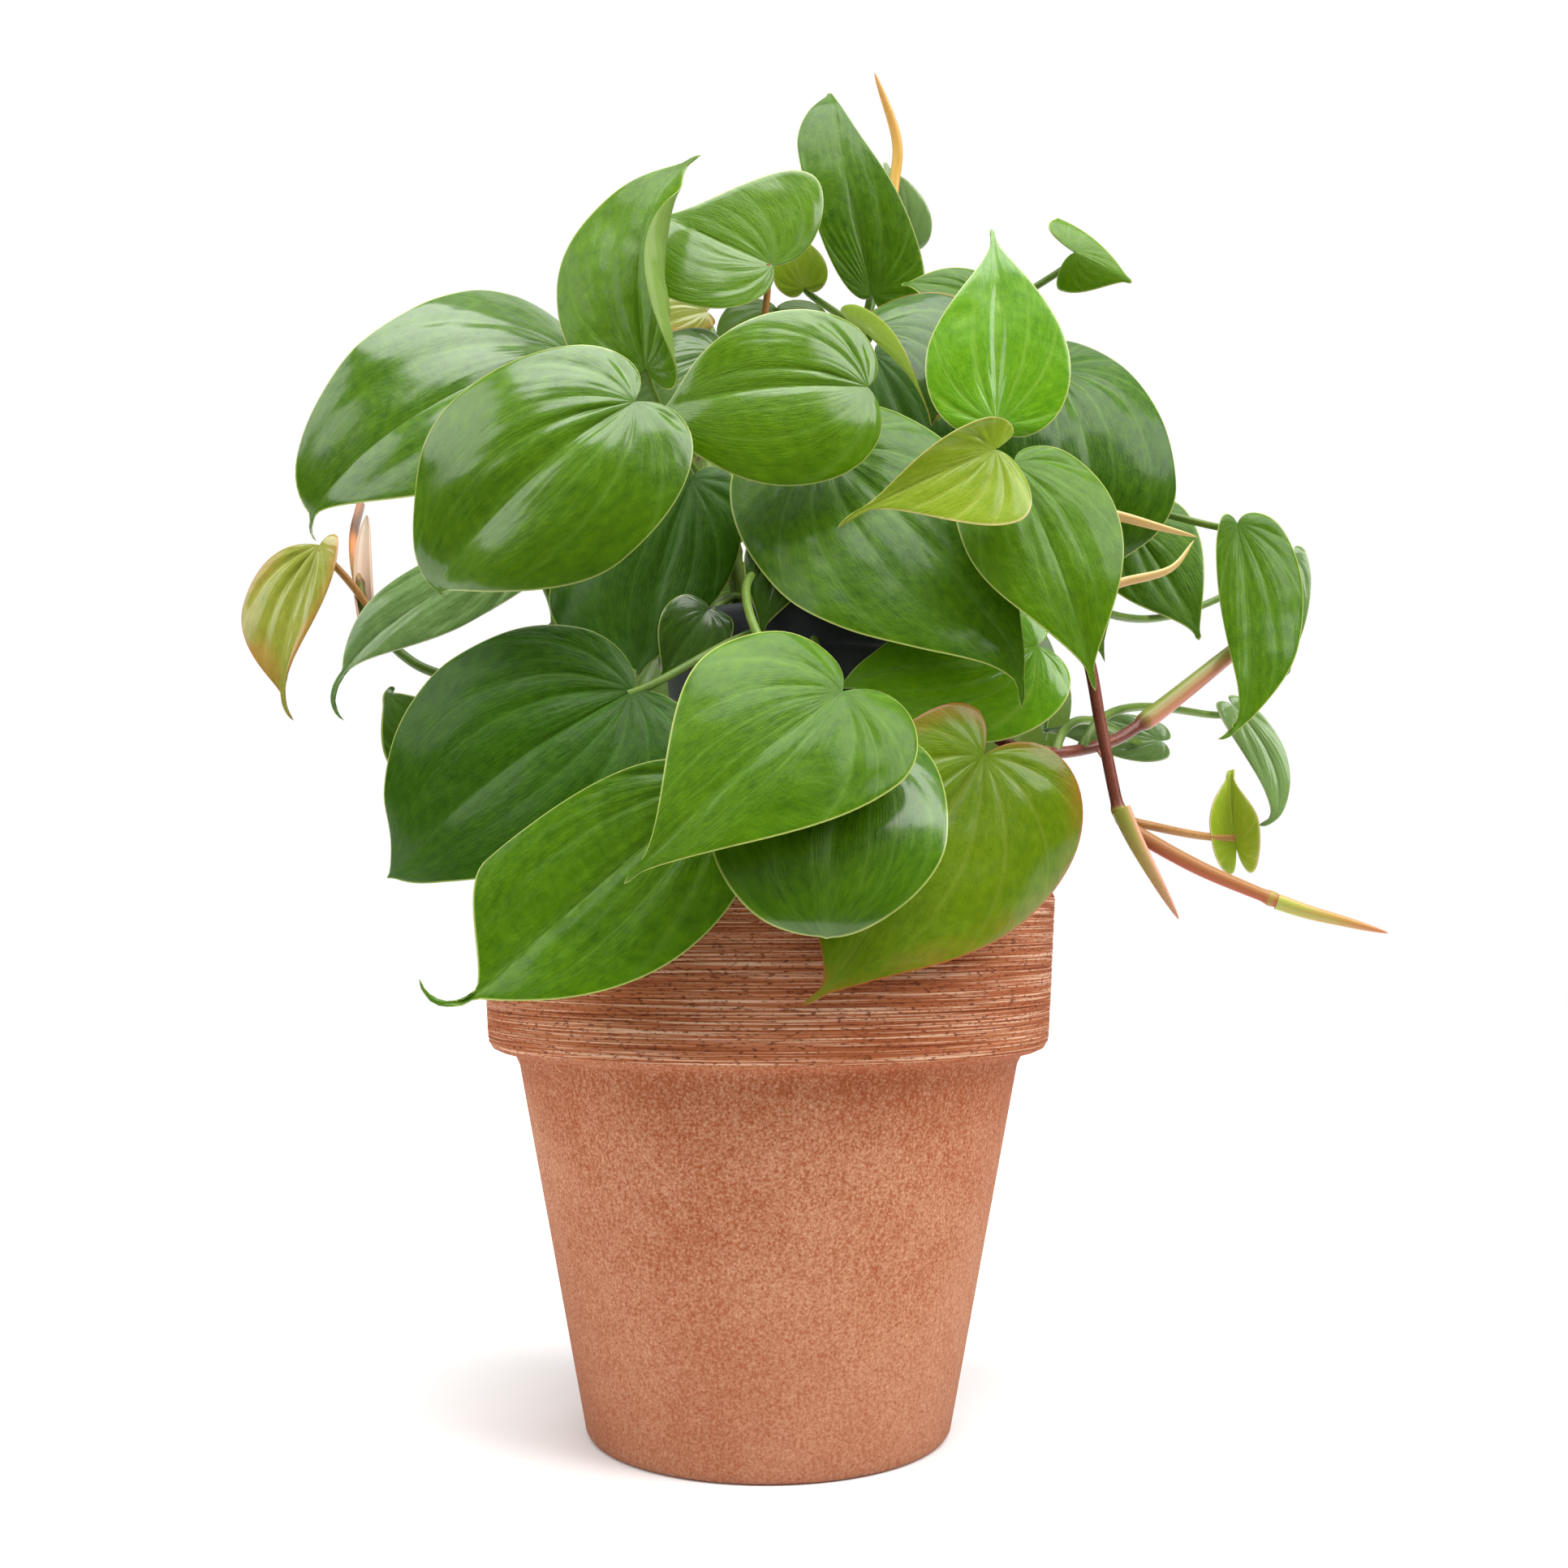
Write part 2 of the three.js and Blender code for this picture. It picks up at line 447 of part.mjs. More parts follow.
// A leaf: blade and stalk in one piece.
function leafSolid(leaf) {
  const rib = midrib(leaf);
  const length = leaf.tip.distanceTo(leaf.notch);
  const rings = length > 70 && !leaf.grown ? [0.42, 0.76, 1] : [0.58, 1];
  const rays = length > 45 && !leaf.grown ? 9 : 7;
  return bladeSolid(leaf, rib, rays, rings).add(petioleSolid(leaf, rib));
}

function readLeaf([name, colour, notch, tip, face, half, bend, fullness, stem, place, shape]) {
  const points = { notch: vector(notch), tip: vector(tip), face: vector(face) };
  return { ...LEAF_DEFAULTS, name, colour, ...points, half, bend, fullness, stem, place, ...shape };
}

// Cover pot: a hollow tapered clay body with a tall rolled-lip band and three drain holes.
function terracottaPot() {
  const inner = RIM_RADIUS - CLAY_WALL;
  let pot = turned(
    [
      [0, 0],
      [FOOT_RADIUS - 1.5, 0],
      [FOOT_RADIUS, 1.5],
      [WALL_TOP_RADIUS, BAND_BOTTOM + 1],
      [BAND_BOTTOM_RADIUS - 2.5, BAND_BOTTOM],
      [BAND_BOTTOM_RADIUS - 0.6, BAND_BOTTOM + 1.4],
      [BAND_BOTTOM_RADIUS + 0.3, BAND_BOTTOM + 4.5],
      [RIM_RADIUS, POT_HEIGHT - 3],
      [RIM_RADIUS - 1, POT_HEIGHT - 0.6],
      [RIM_RADIUS - 3, POT_HEIGHT],
      [inner + 2, POT_HEIGHT],
      [inner, POT_HEIGHT - 2],
      [WALL_TOP_RADIUS - CLAY_WALL, BAND_BOTTOM],
      [FOOT_RADIUS - CLAY_WALL + 2, FLOOR_THICKNESS],
      [0, FLOOR_THICKNESS],
    ],
    44,
  );
  for (let i = 0; i < 3; i++) {
    const turn = (2 * Math.PI * (i + 0.25)) / 3;
    const [x, y] = [28 * Math.cos(turn), 28 * Math.sin(turn)];
    const line = [new THREE.Vector3(x, y, -1), new THREE.Vector3(x, y, FLOOR_THICKNESS + 1)];
    pot = pot.subtract(tube(line, [DRAIN_RADIUS, DRAIN_RADIUS], 10));
  }
  return meshOf("terracotta_pot", pot, "clay");
}

// Potting mix that fills the cover pot, dished where the nursery pot stands.
function coverSoil() {
  const slope = (WALL_TOP_RADIUS - FOOT_RADIUS - 2) / (BAND_BOTTOM - FLOOR_THICKNESS);
  const wide = WALL_TOP_RADIUS - CLAY_WALL + (FILL_TOP - BAND_BOTTOM) * 0.2;
  const soil = turned(
    [
      [0, FLOOR_THICKNESS + CLEARANCE],
      [FOOT_RADIUS - CLAY_WALL + 2 + slope * CLEARANCE - 0.4, FLOOR_THICKNESS + CLEARANCE],
      [WALL_TOP_RADIUS - CLAY_WALL - 0.4, BAND_BOTTOM],
      [wide, FILL_TOP - 2],
      [wide - 2, FILL_TOP],
      [0, FILL_TOP],
    ],
    40,
  );
  const dish = turned(
    [
      [0, NURSERY_FOOT - CLEARANCE],
      [NURSERY_FOOT_RADIUS + 0.6, NURSERY_FOOT - CLEARANCE],
      [NURSERY_FOOT_RADIUS + 1.2, FILL_TOP + 1],
      [0, FILL_TOP + 1],
    ],
    32,
    NURSERY_X,
  );
  return meshOf("cover_pot_soil", soil.subtract(dish), "soil");
}

// Thin-walled nursery pot with a stepped rim and four drain holes.
function nurseryPot() {
  let pot = turned(
    [
      [0, NURSERY_FOOT],
      [NURSERY_FOOT_RADIUS - 1, NURSERY_FOOT],
      [NURSERY_FOOT_RADIUS, NURSERY_FOOT + 1],
      [NURSERY_RIM_RADIUS - 3, NURSERY_RIM - 14],
      [NURSERY_RIM_RADIUS - 0.6, NURSERY_RIM - 13],
      [NURSERY_RIM_RADIUS, NURSERY_RIM - 0.8],
      [NURSERY_RIM_RADIUS - 0.8, NURSERY_RIM],
      [NURSERY_RIM_RADIUS - 2, NURSERY_RIM],
      [NURSERY_RIM_RADIUS - 3 - PLASTIC_WALL, NURSERY_RIM - 15],
      [NURSERY_FOOT_RADIUS - PLASTIC_WALL, NURSERY_FOOT + PLASTIC_WALL],
      [0, NURSERY_FOOT + PLASTIC_WALL],
    ],
    36,
    NURSERY_X,
  );
  for (let i = 0; i < 4; i++) {
    const turn = (Math.PI / 2) * (i + 0.5);
    const [x, y] = [NURSERY_X + 26 * Math.cos(turn), 26 * Math.sin(turn)];
    const line = [new THREE.Vector3(x, y, NURSERY_FOOT - 1), new THREE.Vector3(x, y, NURSERY_FOOT + 4)];
    pot = pot.subtract(tube(line, [4, 4], 8));
  }
  return meshOf("nursery_pot", pot, "plastic");
}

// Potting soil in the nursery pot, with a plain hole for each stem.
function nurserySoil() {
  const taper = (NURSERY_RIM_RADIUS - 3 - NURSERY_FOOT_RADIUS) / (NURSERY_RIM - 15 - NURSERY_FOOT);
  const wallAt = (height) => NURSERY_FOOT_RADIUS - PLASTIC_WALL + taper * (height - NURSERY_FOOT - 2) - 0.7;
  let soil = turned(
    [
      [0, NURSERY_FOOT + PLASTIC_WALL + CLEARANCE],
      [wallAt(NURSERY_FOOT + 3), NURSERY_FOOT + PLASTIC_WALL + CLEARANCE],
      [wallAt(NURSERY_RIM - 16), NURSERY_RIM - 16],
      [wallAt(NURSERY_RIM - 16), SOIL_TOP - 1],
      [wallAt(NURSERY_RIM - 16) - 1, SOIL_TOP],
      [0, SOIL_TOP],
    ],
    36,
    NURSERY_X,
  );
  for (const stem of STEMS) soil = soil.subtract(stemSolid(stem, CLEARANCE));
  return meshOf("nursery_soil", soil, "soil");
}

// Stems, the leafy ones with their rear leaves grown on, and the leaves that stand out on their own.
function foliage() {
  const meshes = [];
  const leaves = LEAVES.map(readLeaf);
  for (const stem of STEMS) {
    let solid = stemSolid(stem);
    for (const leaf of leaves) if (leaf.stem === stem[0] && leaf.grown) solid = solid.add(leafSolid(leaf));
    meshes.push(meshOf(stem[0], solid, stem[1]));
  }
  for (const leaf of leaves) {
    if (leaf.grown) continue;
    const stem = STEMS.find(([name]) => name === leaf.stem);
    meshes.push(meshOf(leaf.name, leafSolid(leaf).subtract(stemSolid(stem, CLEARANCE)), leaf.colour));
  }
  return meshes;
}

// Sheaths, trimmed clear of the stems that they sit on.
function sheaths() {
  return SHEATHS.map((sheath) => {
    let solid = sheathSolid(sheath);
    for (const stem of STEMS) solid = solid.subtract(stemSolid(stem, CLEARANCE));
    return meshOf(sheath[0], solid, sheath[1]);
  });
}

const plant = new THREE.Group();
plant.add(terracottaPot(), coverSoil(), nurseryPot(), nurserySoil(), ...foliage(), ...sheaths());

export default plant;
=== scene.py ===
import functools
import math

import bpy
import numpy as np
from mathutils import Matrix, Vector, geometry


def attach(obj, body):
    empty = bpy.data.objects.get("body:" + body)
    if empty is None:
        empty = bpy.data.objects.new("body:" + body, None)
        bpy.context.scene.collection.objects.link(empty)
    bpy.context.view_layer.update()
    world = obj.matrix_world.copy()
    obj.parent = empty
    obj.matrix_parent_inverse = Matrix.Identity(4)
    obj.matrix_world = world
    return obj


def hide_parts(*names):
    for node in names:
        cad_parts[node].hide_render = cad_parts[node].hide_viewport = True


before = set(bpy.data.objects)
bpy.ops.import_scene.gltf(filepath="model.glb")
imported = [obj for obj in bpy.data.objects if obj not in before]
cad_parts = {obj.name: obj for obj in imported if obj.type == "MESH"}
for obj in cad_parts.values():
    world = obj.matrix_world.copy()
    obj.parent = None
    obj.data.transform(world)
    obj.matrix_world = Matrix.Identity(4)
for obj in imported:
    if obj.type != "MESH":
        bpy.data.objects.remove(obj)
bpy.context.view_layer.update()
scene = bpy.context.scene


# The camera stands 537 mm in front of the pot's axis at 158 mm above the floor and looks up by 4.5 degrees,
# which puts the rim, the band's lip and the sides of the pot where the photograph has them.
camera = bpy.data.objects.new("camera", bpy.data.cameras.new("camera"))
camera.location = (0.0048, -0.537, 0.1577)
camera.rotation_euler = (math.radians(94.5), 0, 0)
camera.data.lens = 38.68
camera.data.sensor_width = 36
scene.collection.objects.link(camera)
scene.camera = camera


# Terracotta cover pot: earthenware, thrown and fired without glaze. The tall band round the rim was combed
# while the clay was wet, which left fine level grooves and torn pits; the body was only wiped smooth.
def linear(code):
    """sRGB hex to linear RGBA: each channel c becomes ((c + 0.055) / 1.055) ** 2.4, or c / 12.92 when dark."""
    channels = [int(code[i : i + 2], 16) / 255 for i in (1, 3, 5)]
    return [c / 12.92 if c <= 0.04045 else ((c + 0.055) / 1.055) ** 2.4 for c in channels] + [1.0]


def add(tree, kind, inputs=(), give=None, **settings):
    """Adds one shader node with its settings and returns its output named give, or else its first live one.
    inputs are numbers, hex colours or sockets. A dict fills the inputs it names, a list the live ones in order:
    place, scale, detail, roughness of a TexNoise; value, from low and high, to low and high of a MapRange."""
    node = tree.nodes.new("ShaderNode" + kind)
    for name, value in settings.items():
        setattr(node, name, value)
    live = [socket for socket in node.inputs if socket.enabled]
    if isinstance(inputs, dict):
        live = [next(socket for socket in live if socket.name == name) for name in inputs]
        inputs = inputs.values()
    for socket, value in zip(live, inputs):
        if isinstance(value, bpy.types.NodeSocket):
            tree.links.new(value, socket)
        else:
            socket.default_value = linear(value) if isinstance(value, str) else value
    return node.outputs[give] if give else next((socket for socket in node.outputs if socket.enabled), None)


def material(name):
    """A new node material, and the function that adds a node to its emptied tree."""
    made = bpy.data.materials.new(name)
    made.use_nodes = True
    made.node_tree.nodes.clear()
    return made, functools.partial(add, made.node_tree)


def fired_clay():
    """Unglazed earthenware: orange-brown, wiped upright in smears of 1.4 by 4 mm, under a pale lime bloom in
    67 mm clouds that breaks up into a 0.8 mm speckle. Under the band's lip the bloom is cut back as painted
    shade, and the foot is darkened by painted shade. Darker 0.4 mm grain; no gloss."""
    made, node = material("fired_clay")
    place = node("TexCoord", give="Object")
    cloud = node("TexNoise", [place, 15, 7, 0.68])
    speckle = node("TexNoise", [place, 1200, 3, 0.65])
    wiped = node("Mapping", {"Vector": place, "Scale": (1, 1, 0.35)})
    smear = node("TexNoise", [wiped, 700, 5, 0.65])
    grain = node("TexNoise", [place, 2600, 2])
    height = node("SeparateXYZ", [place], give="Z")
    # painted shade: the clay is darkened towards the foot, near the floor
    painted_foot_shade = node("MapRange", [height, 0, 0.09, 0.5, 0])
    # painted shade under the band's lip: the bloom is cut back there, so the body darkens just below the lip
    lip = node("MapRange", [height, 0.09, 0.117, 0, 0.2])
    lime = node("Math", [speckle, 2.2, cloud], operation="MULTIPLY_ADD")
    streaked = node("Math", [smear, 0.7, lime], operation="MULTIPLY_ADD")
    raised = node("Math", [streaked, lip], operation="SUBTRACT")
    bloom = node("MapRange", [raised, 1.6, 2.4])
    warm = node("Mix", [smear, "#8e4424", "#a85a30"], data_type="RGBA")
    dusty = node("Mix", [bloom, warm, "#d09c7a"], data_type="RGBA")
    # the foot colour mixed in here is painted shade
    foot = node("Mix", [painted_foot_shade, dusty, "#8c5c44"], data_type="RGBA")
    dark = node("MapRange", [grain, 0.5, 0.66, 0, 0.55])
    base = node("Mix", [dark, foot, "#824022"], data_type="RGBA")
    bump = node("Bump", {"Height": speckle, "Strength": 0.4, "Distance": 0.0003})
    shader = node("BsdfPrincipled", {"Base Color": base, "Normal": bump, "Roughness": 0.88,
                                     "Specular IOR Level": 0.3})
    node("OutputMaterial", [shader])
    return made


def combed_clay():
    """The same clay, combed: level threads 0.5 mm apart and up to 60 mm long run from pale ridges to red-brown
    furrows, following the attribute groove, and torn pits in them, 2 mm long, are darker still. The paler
    ridges and the darker furrows and pits are painted light and shade in the combing's relief, over the clay's
    own threads."""
    made, node = material("combed_clay")
    place = node("TexCoord", give="Object")
    groove = node("Attribute", give="Fac", attribute_name="groove")
    level = node("Mapping", {"Vector": place, "Scale": (0.008, 0.008, 1)})
    thread = node("TexNoise", [level, 2100, 3, 0.7])
    short = node("Mapping", {"Vector": place, "Scale": (0.3, 0.3, 1)})
    torn = node("TexNoise", [short, 1500, 4, 0.7])
    cloud = node("TexNoise", [place, 28, 4])
    warm = node("Mix", [cloud, "#a05029", "#b87046"], data_type="RGBA")
    share = node("Math", [groove, -0.16, thread], operation="MULTIPLY_ADD")
    light = node("MapRange", [share, 0.47, 0.58, 0, 0.8])
    pale = node("Mix", [light, warm, "#ecc4a4"], data_type="RGBA")
    # painted shade: darker down the furrows, where the attribute groove is deep
    furrow = node("MapRange", [share, 0.42, 0.3, 0, 0.85])
    dull = node("Mix", [furrow, pale, "#7c3a1c"], data_type="RGBA")
    # painted shade in the torn pits
    painted_pit_shade = node("MapRange", [torn, 0.54, 0.62, 0, 0.85])
    base = node("Mix", [painted_pit_shade, dull, "#602810"], data_type="RGBA")
    rough = node("Math", [torn, -1, thread], operation="MULTIPLY_ADD")
    bump = node("Bump", {"Height": rough, "Strength": 0.7, "Distance": 0.0005})
    shader = node("BsdfPrincipled", {"Base Color": base, "Normal": bump, "Roughness": 0.9,
                                     "Specular IOR Level": 0.25})
    node("OutputMaterial", [shader])
    return made


def piece(name, points, faces, finishes, slot, cad_node, smooth=50, finish_of_face=None, **attributes):
    """One mesh from points in millimetres and arrays of faces, smooth up to that angle, with a float attribute
    for each keyword. It rides on the plant's one body and stands for cad_node."""
    mesh = bpy.data.meshes.new(name)
    mesh.from_pydata((points / 1000).tolist(), [], [face for group in faces for face in group.tolist()])
    for finish in finishes:
        mesh.materials.append(finish)
    if finish_of_face is not None:
        mesh.polygons.foreach_set("material_index", np.asarray(finish_of_face, np.int32))
    for key, values in attributes.items():
        mesh.attributes.new(key, "FLOAT", "POINT").data.foreach_set("value", np.asarray(values, np.float32))
    mesh.shade_smooth()
    mesh.set_sharp_from_angle(angle=math.radians(smooth))
    made = bpy.data.objects.new(name, mesh)
    scene.collection.objects.link(made)
    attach(made, "root")
    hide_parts(cad_node)


def full_turn(sides):
    """Even angles once round, the first of them 0."""
    return np.linspace(0, 2 * np.pi, sides, endpoint=False)


def ring_faces(rows, columns, start=0):
    """Quads of a grid of rows by columns whose columns close into a ring: corner (r, c) is number
    start + r columns + c."""
    r, c = np.mgrid[0 : rows - 1, 0:columns]
    a = start + r * columns + c
    b = start + r * columns + (c + 1) % columns
    return np.stack([a, b, b + columns, a + columns], -1).reshape(-1, 4)


def poled_faces(rows, columns):
    """Faces of a grid of rings that follows two poles: quads, and a fan from each pole to its ring."""
    first = 2 + np.arange(columns)
    last = first + (rows - 1) * columns
    start = np.stack([0 * first, np.roll(first, -1), first], -1)
    end = np.stack([0 * last + 1, last, np.roll(last, -1)], -1)
    return [ring_faces(rows, columns, 2), start, end]


def turned(profile, sides, axis=0, outward=0, upward=0, holes=None):
    """A profile of (radius, height) turned about a vertical axis at x = axis: each row becomes a ring of points
    (axis + r cos t, r sin t, h), moved by outward and upward. Its first and last row lie on the axis and become
    poles, unless holes is (size, reach, turns): then they are the edges of a flat floor, whose two faces are
    triangulated round holes of the radius size, which are at reach from the axis and have walls."""
    turn = full_turn(sides)
    ringed = profile if holes else profile[1:-1]
    radius = ringed[:, :1] + outward + 0 * turn
    height = ringed[:, 1:] + upward + 0 * turn
    rings = np.stack([axis + radius * np.cos(turn), radius * np.sin(turn), height], -1).reshape(-1, 3)
    rows = len(ringed)
    if not holes:
        poles = np.array([[axis, 0, profile[0, 1]], [axis, 0, profile[-1, 1]]])
        return np.concatenate([poles, rings]), poled_faces(rows, sides)
    size, reach, turns = holes
    edge = 24
    rim = full_turn(edge)
    centres = [(axis + reach * math.cos(a), reach * math.sin(a)) for a in turns]
    circles = [np.stack([x + size * np.cos(rim), y + size * np.sin(rim)], -1) for x, y in centres]
    flat = np.concatenate([rings[:sides, :2], *circles])
    loops = [np.arange(sides)] + [sides + edge * i + np.arange(edge) for i in range(len(turns))]
    edges = [(int(a), int(b)) for loop in loops for a, b in zip(loop, np.roll(loop, -1))]
    found = geometry.delaunay_2d_cdt([Vector(spot) for spot in flat], edges, [], 2, 1e-6)
    own = np.array([sources[0] for sources in found[3]])
    triangles = own[np.array(found[2])]
    a, b, c = (flat[triangles[:, i]] for i in range(3))
    over = (b - a)[:, 0] * (c - a)[:, 1] - (b - a)[:, 1] * (c - a)[:, 0] < 0
    triangles[over] = triangles[over][:, ::-1]
    extra = len(flat) - sides
    low = np.concatenate([np.arange(sides), len(rings) + np.arange(extra)])
    high = np.concatenate([(rows - 1) * sides + np.arange(sides), len(rings) + extra + np.arange(extra)])
    walls = [np.stack([low[np.roll(k, -1)], low[k], high[k], high[np.roll(k, -1)]], -1) for k in loops[1:]]
    spots = [np.column_stack([flat[sides:], np.full(extra, profile[end, 1])]) for end in (0, -1)]
    faces = [ring_faces(rows, sides), low[triangles][:, ::-1], high[triangles], np.concatenate(walls)]
    return np.concatenate([rings, *spots]), faces


def stepped(corners, steps):
    """A profile with corners joined by straight runs of evenly spaced points, steps of them for each run."""
    runs = zip(corners[:-1], corners[1:], steps)
    return np.concatenate([*[np.linspace(a, b, count, endpoint=False) for a, b, count in runs], corners[-1:]])


pot_corners = [
    [40, 0], [53.5, 0], [55.3, 0.5], [56.3, 2], [77.7, 112.5], [79.2, 115.6], [81.4, 117.2], [84, 117],
    [86, 117.9], [87.2, 119.8], [87.6, 122], [89.9, 163], [89.4, 165], [88, 166], [84, 166], [82.6, 165.4],
    [82, 164], [70.6, 117], [50, 12], [40, 12],
]
pot_profile = stepped(pot_corners, [3, 2, 2, 38, 3, 2, 2, 3, 4, 6, 112, 5, 3, 3, 2, 2, 16, 30, 3])
pot_sides = 288
pot_turn = full_turn(pot_sides)
pot_draw = np.random.default_rng(7)
band_foot, band_radius = 118.5, 85.9
band = (pot_profile[:, 0] > band_radius) & (pot_profile[:, 1] > band_foot)
level = pot_profile[:, 1:] + 0.28 * np.sin(2 * pot_turn + 1) + 0.16 * np.sin(5 * pot_turn)
comb_teeth, tooth_width = 46, 0.26
comb_height = np.cumsum(pot_draw.uniform(0.55, 1.5, comb_teeth)) + 118
comb_depth = pot_draw.uniform(0.15, 1, comb_teeth) ** 1.5
furrow = np.zeros_like(level)
for height, depth in zip(comb_height, comb_depth):
    patchy = 0.7 + 0.3 * np.sin(pot_turn * pot_draw.integers(1, 9) + pot_draw.uniform(0, 6))
    furrow += depth * patchy * np.exp(-(((level - height) / tooth_width) ** 2))
furrow = np.clip(furrow, 0, 1) * band[:, None]
fine_line = (0.5 + 0.5 * np.sin(level * 9.1 + 2 * np.sin(level * 1.7))) * band[:, None]
hole_radius, hole_reach = 5, 28
drain_holes = (hole_radius, hole_reach, [2 * math.pi * (i + 0.25) / 3 for i in range(3)])
points, faces = turned(pot_profile, pot_sides, outward=-0.42 * furrow - 0.1 * fine_line, holes=drain_holes)
groove = np.zeros(len(points))
groove[: level.size] = np.clip(0.75 * furrow + 0.35 * fine_line, 0, 1).ravel()
finish = np.zeros(sum(map(len, faces)), int)
finish[: len(faces[0])] = np.repeat(band[:-1] | band[1:], pot_sides)
piece("terracotta_cover_pot", points, faces, [fired_clay(), combed_clay()], "terracotta", "terracotta_pot",
      finish_of_face=finish, groove=groove)


# Potting mix in the cover pot: dark peat and bark crumbs, pressed level, with a dish that the inner pot
# stands in.
def lumps(x, y, size, seed):
    """Soft unevenness of about unit height: a sum of 20 plane waves of seeded direction, phase and length
    near size millimetres."""
    draw = np.random.default_rng(seed)
    count = 20
    turn = draw.uniform(0, 2 * np.pi, count)
    length = size * draw.uniform(0.7, 1.6, count)
    phase = draw.uniform(0, 2 * np.pi, count)
    far = x[..., None] * np.cos(turn) + y[..., None] * np.sin(turn)
    return np.cos(2 * np.pi * far / length + phase).sum(-1) / np.sqrt(count)


def peat():
    """Damp peat mix: near-black brown crumbs of 2.4 mm with lighter bark fibres of 3 mm, fully matt."""
    made, node = material("damp_peat")
    place = node("TexCoord", give="Object")
    crumb = node("TexNoise", [place, 420, 5, 0.7])
    fibre = node("TexVoronoi", [place, 330])
    tone = node("Mix", [crumb, "#17100c", "#4b3627"], data_type="RGBA")
    bark = node("MapRange", [fibre, 0.12, 0.3, 0.35, 0])
    base = node("Mix", [bark, tone, "#7a5a40"], data_type="RGBA")
    bump = node("Bump", {"Height": crumb, "Strength": 0.9, "Distance": 0.0015})
    shader = node("BsdfPrincipled", {"Base Color": base, "Normal": bump, "Roughness": 0.95,
                                     "Specular IOR Level": 0.2})
    node("OutputMaterial", [shader])
    return made


def soil_bed(name, cad_node, corners, steps, axis, dish=None):
    """A filled bed: a turned profile whose level top is lifted by lumps of 9, 4 and 2 mm, folded upwards so
    that they read as crumbs; dish is (x, radius, depth) of a round foot pressed into it."""
    profile = stepped(corners, steps)
    sides = 180
    turn = full_turn(sides)
    radius = profile[1:-1, :1]
    x, y = axis + radius * np.cos(turn), radius * np.sin(turn)
    top = (profile[1:-1, 1:] > profile[-1, 1] - 0.1) * np.clip((radius.max() - radius) / 3, 0, 1)
    coarse, middling, small = (np.abs(lumps(x, y, size, seed)) for size, seed in ((9, 1), (4, 2), (2, 3)))
    crumbs = coarse * 1.1 + middling * 0.7 + small * 0.35
    lift = top * (crumbs - 1.6)
    if dish:
        middle, reach, depth = dish
        inside = np.clip(reach + 0.6 - np.hypot(x - middle, y), 0, 1)
        lift = lift * (1 - inside) - top * inside * depth
    points, faces = turned(profile, sides, axis, upward=lift)
    piece(name, points, faces, [peat_mix], "potting_soil", cad_node, smooth=180)


peat_mix = peat()
inner_axis = 18
cover_bed = [[0, 12.3], [49.8, 12.3], [70.2, 117], [75.4, 142], [73.4, 144], [0, 144]]
soil_bed("cover_pot_potting_mix", "cover_pot_soil", cover_bed, [5, 24, 8, 2, 60], 0, (inner_axis, 42.6, 5))


# Nursery pot: black-grey polypropylene, injection moulded with a stepped, rolled rim; thin and slightly shiny.
def moulded_plastic():
    """Dark grey polypropylene: even colour with faint dust, satin gloss broken by a 0.6 mm moulding grain."""
    made, node = material("moulded_polypropylene")
    place = node("TexCoord", give="Object")
    dust = node("TexNoise", [place, 90, 5])
    grain = node("TexNoise", [place, 1600, 1])
    haze = node("MapRange", [dust, 0.5, 0.75, 0, 0.35])
    base = node("Mix", [haze, "#2a2e33", "#4d4f50"], data_type="RGBA")
    gloss = node("MapRange", [dust, 0, 1, 0.36, 0.58])
    bump = node("Bump", {"Height": grain, "Strength": 0.15, "Distance": 0.0002})
    shader = node("BsdfPrincipled", {"Base Color": base, "Roughness": gloss, "Normal": bump})
    node("OutputMaterial", [shader])
    return made


nursery_corners = [
    [36, 139.3], [40.6, 139.3], [41.7, 139.7], [42.2, 140.6], [50.8, 235.6], [52.6, 236.2], [53.3, 237.2],
    [53.9, 248.6], [53.4, 249.7], [52.6, 250], [51.9, 249.5], [49.4, 235], [40.2, 141.1], [36, 141.1],
]
nursery_profile = stepped(nursery_corners, [2, 2, 2, 30, 2, 2, 6, 2, 2, 2, 6, 24, 2])
hole_radius, hole_reach = 4, 26
drain_holes = (hole_radius, hole_reach, [math.pi / 2 * (i + 0.5) for i in range(4)])
points, faces = turned(nursery_profile, 144, inner_axis, holes=drain_holes)
piece("plastic_nursery_pot", points, faces, [moulded_plastic()], "grey_plastic", "nursery_pot", smooth=40)


# Potting mix of the nursery pot, a finger's width below its rim; the stems come out of it.
nursery_bed = [[0, 141.4], [39.8, 141.4], [48.3, 234], [48.3, 239], [47.3, 240], [0, 240]]
soil_bed("nursery_pot_potting_mix", "nursery_soil", nursery_bed, [5, 16, 3, 2, 48], inner_axis)


# Stems: soft green shoots that stand in the potting mix. Each has a swollen ring at every node, where a leaf
# stalk leaves it, and a brown scar round the ring.
def smooth_path(points, count):
    """A uniform Catmull-Rom curve through the points, at count even values of its parameter. Each end is
    continued by its own mirror point."""
    p = np.asarray(points, float)
    p = np.concatenate([[2 * p[0] - p[1]], p, [2 * p[-1] - p[-2]]])
    t = np.linspace(0, len(p) - 3, count)
    i = np.minimum(t.astype(int), len(p) - 4)
    u = (t - i)[:, None]
    a, b, c, d = p[i], p[i + 1], p[i + 2], p[i + 3]
    return 0.5 * (2 * b + (c - a) * u + (2 * a - 5 * b + 4 * c - d) * u**2 + (3 * b - a - 3 * c + d) * u**3)


def unit(v):
    """Each row divided by its length."""
    return v / np.linalg.norm(v, axis=-1, keepdims=True)


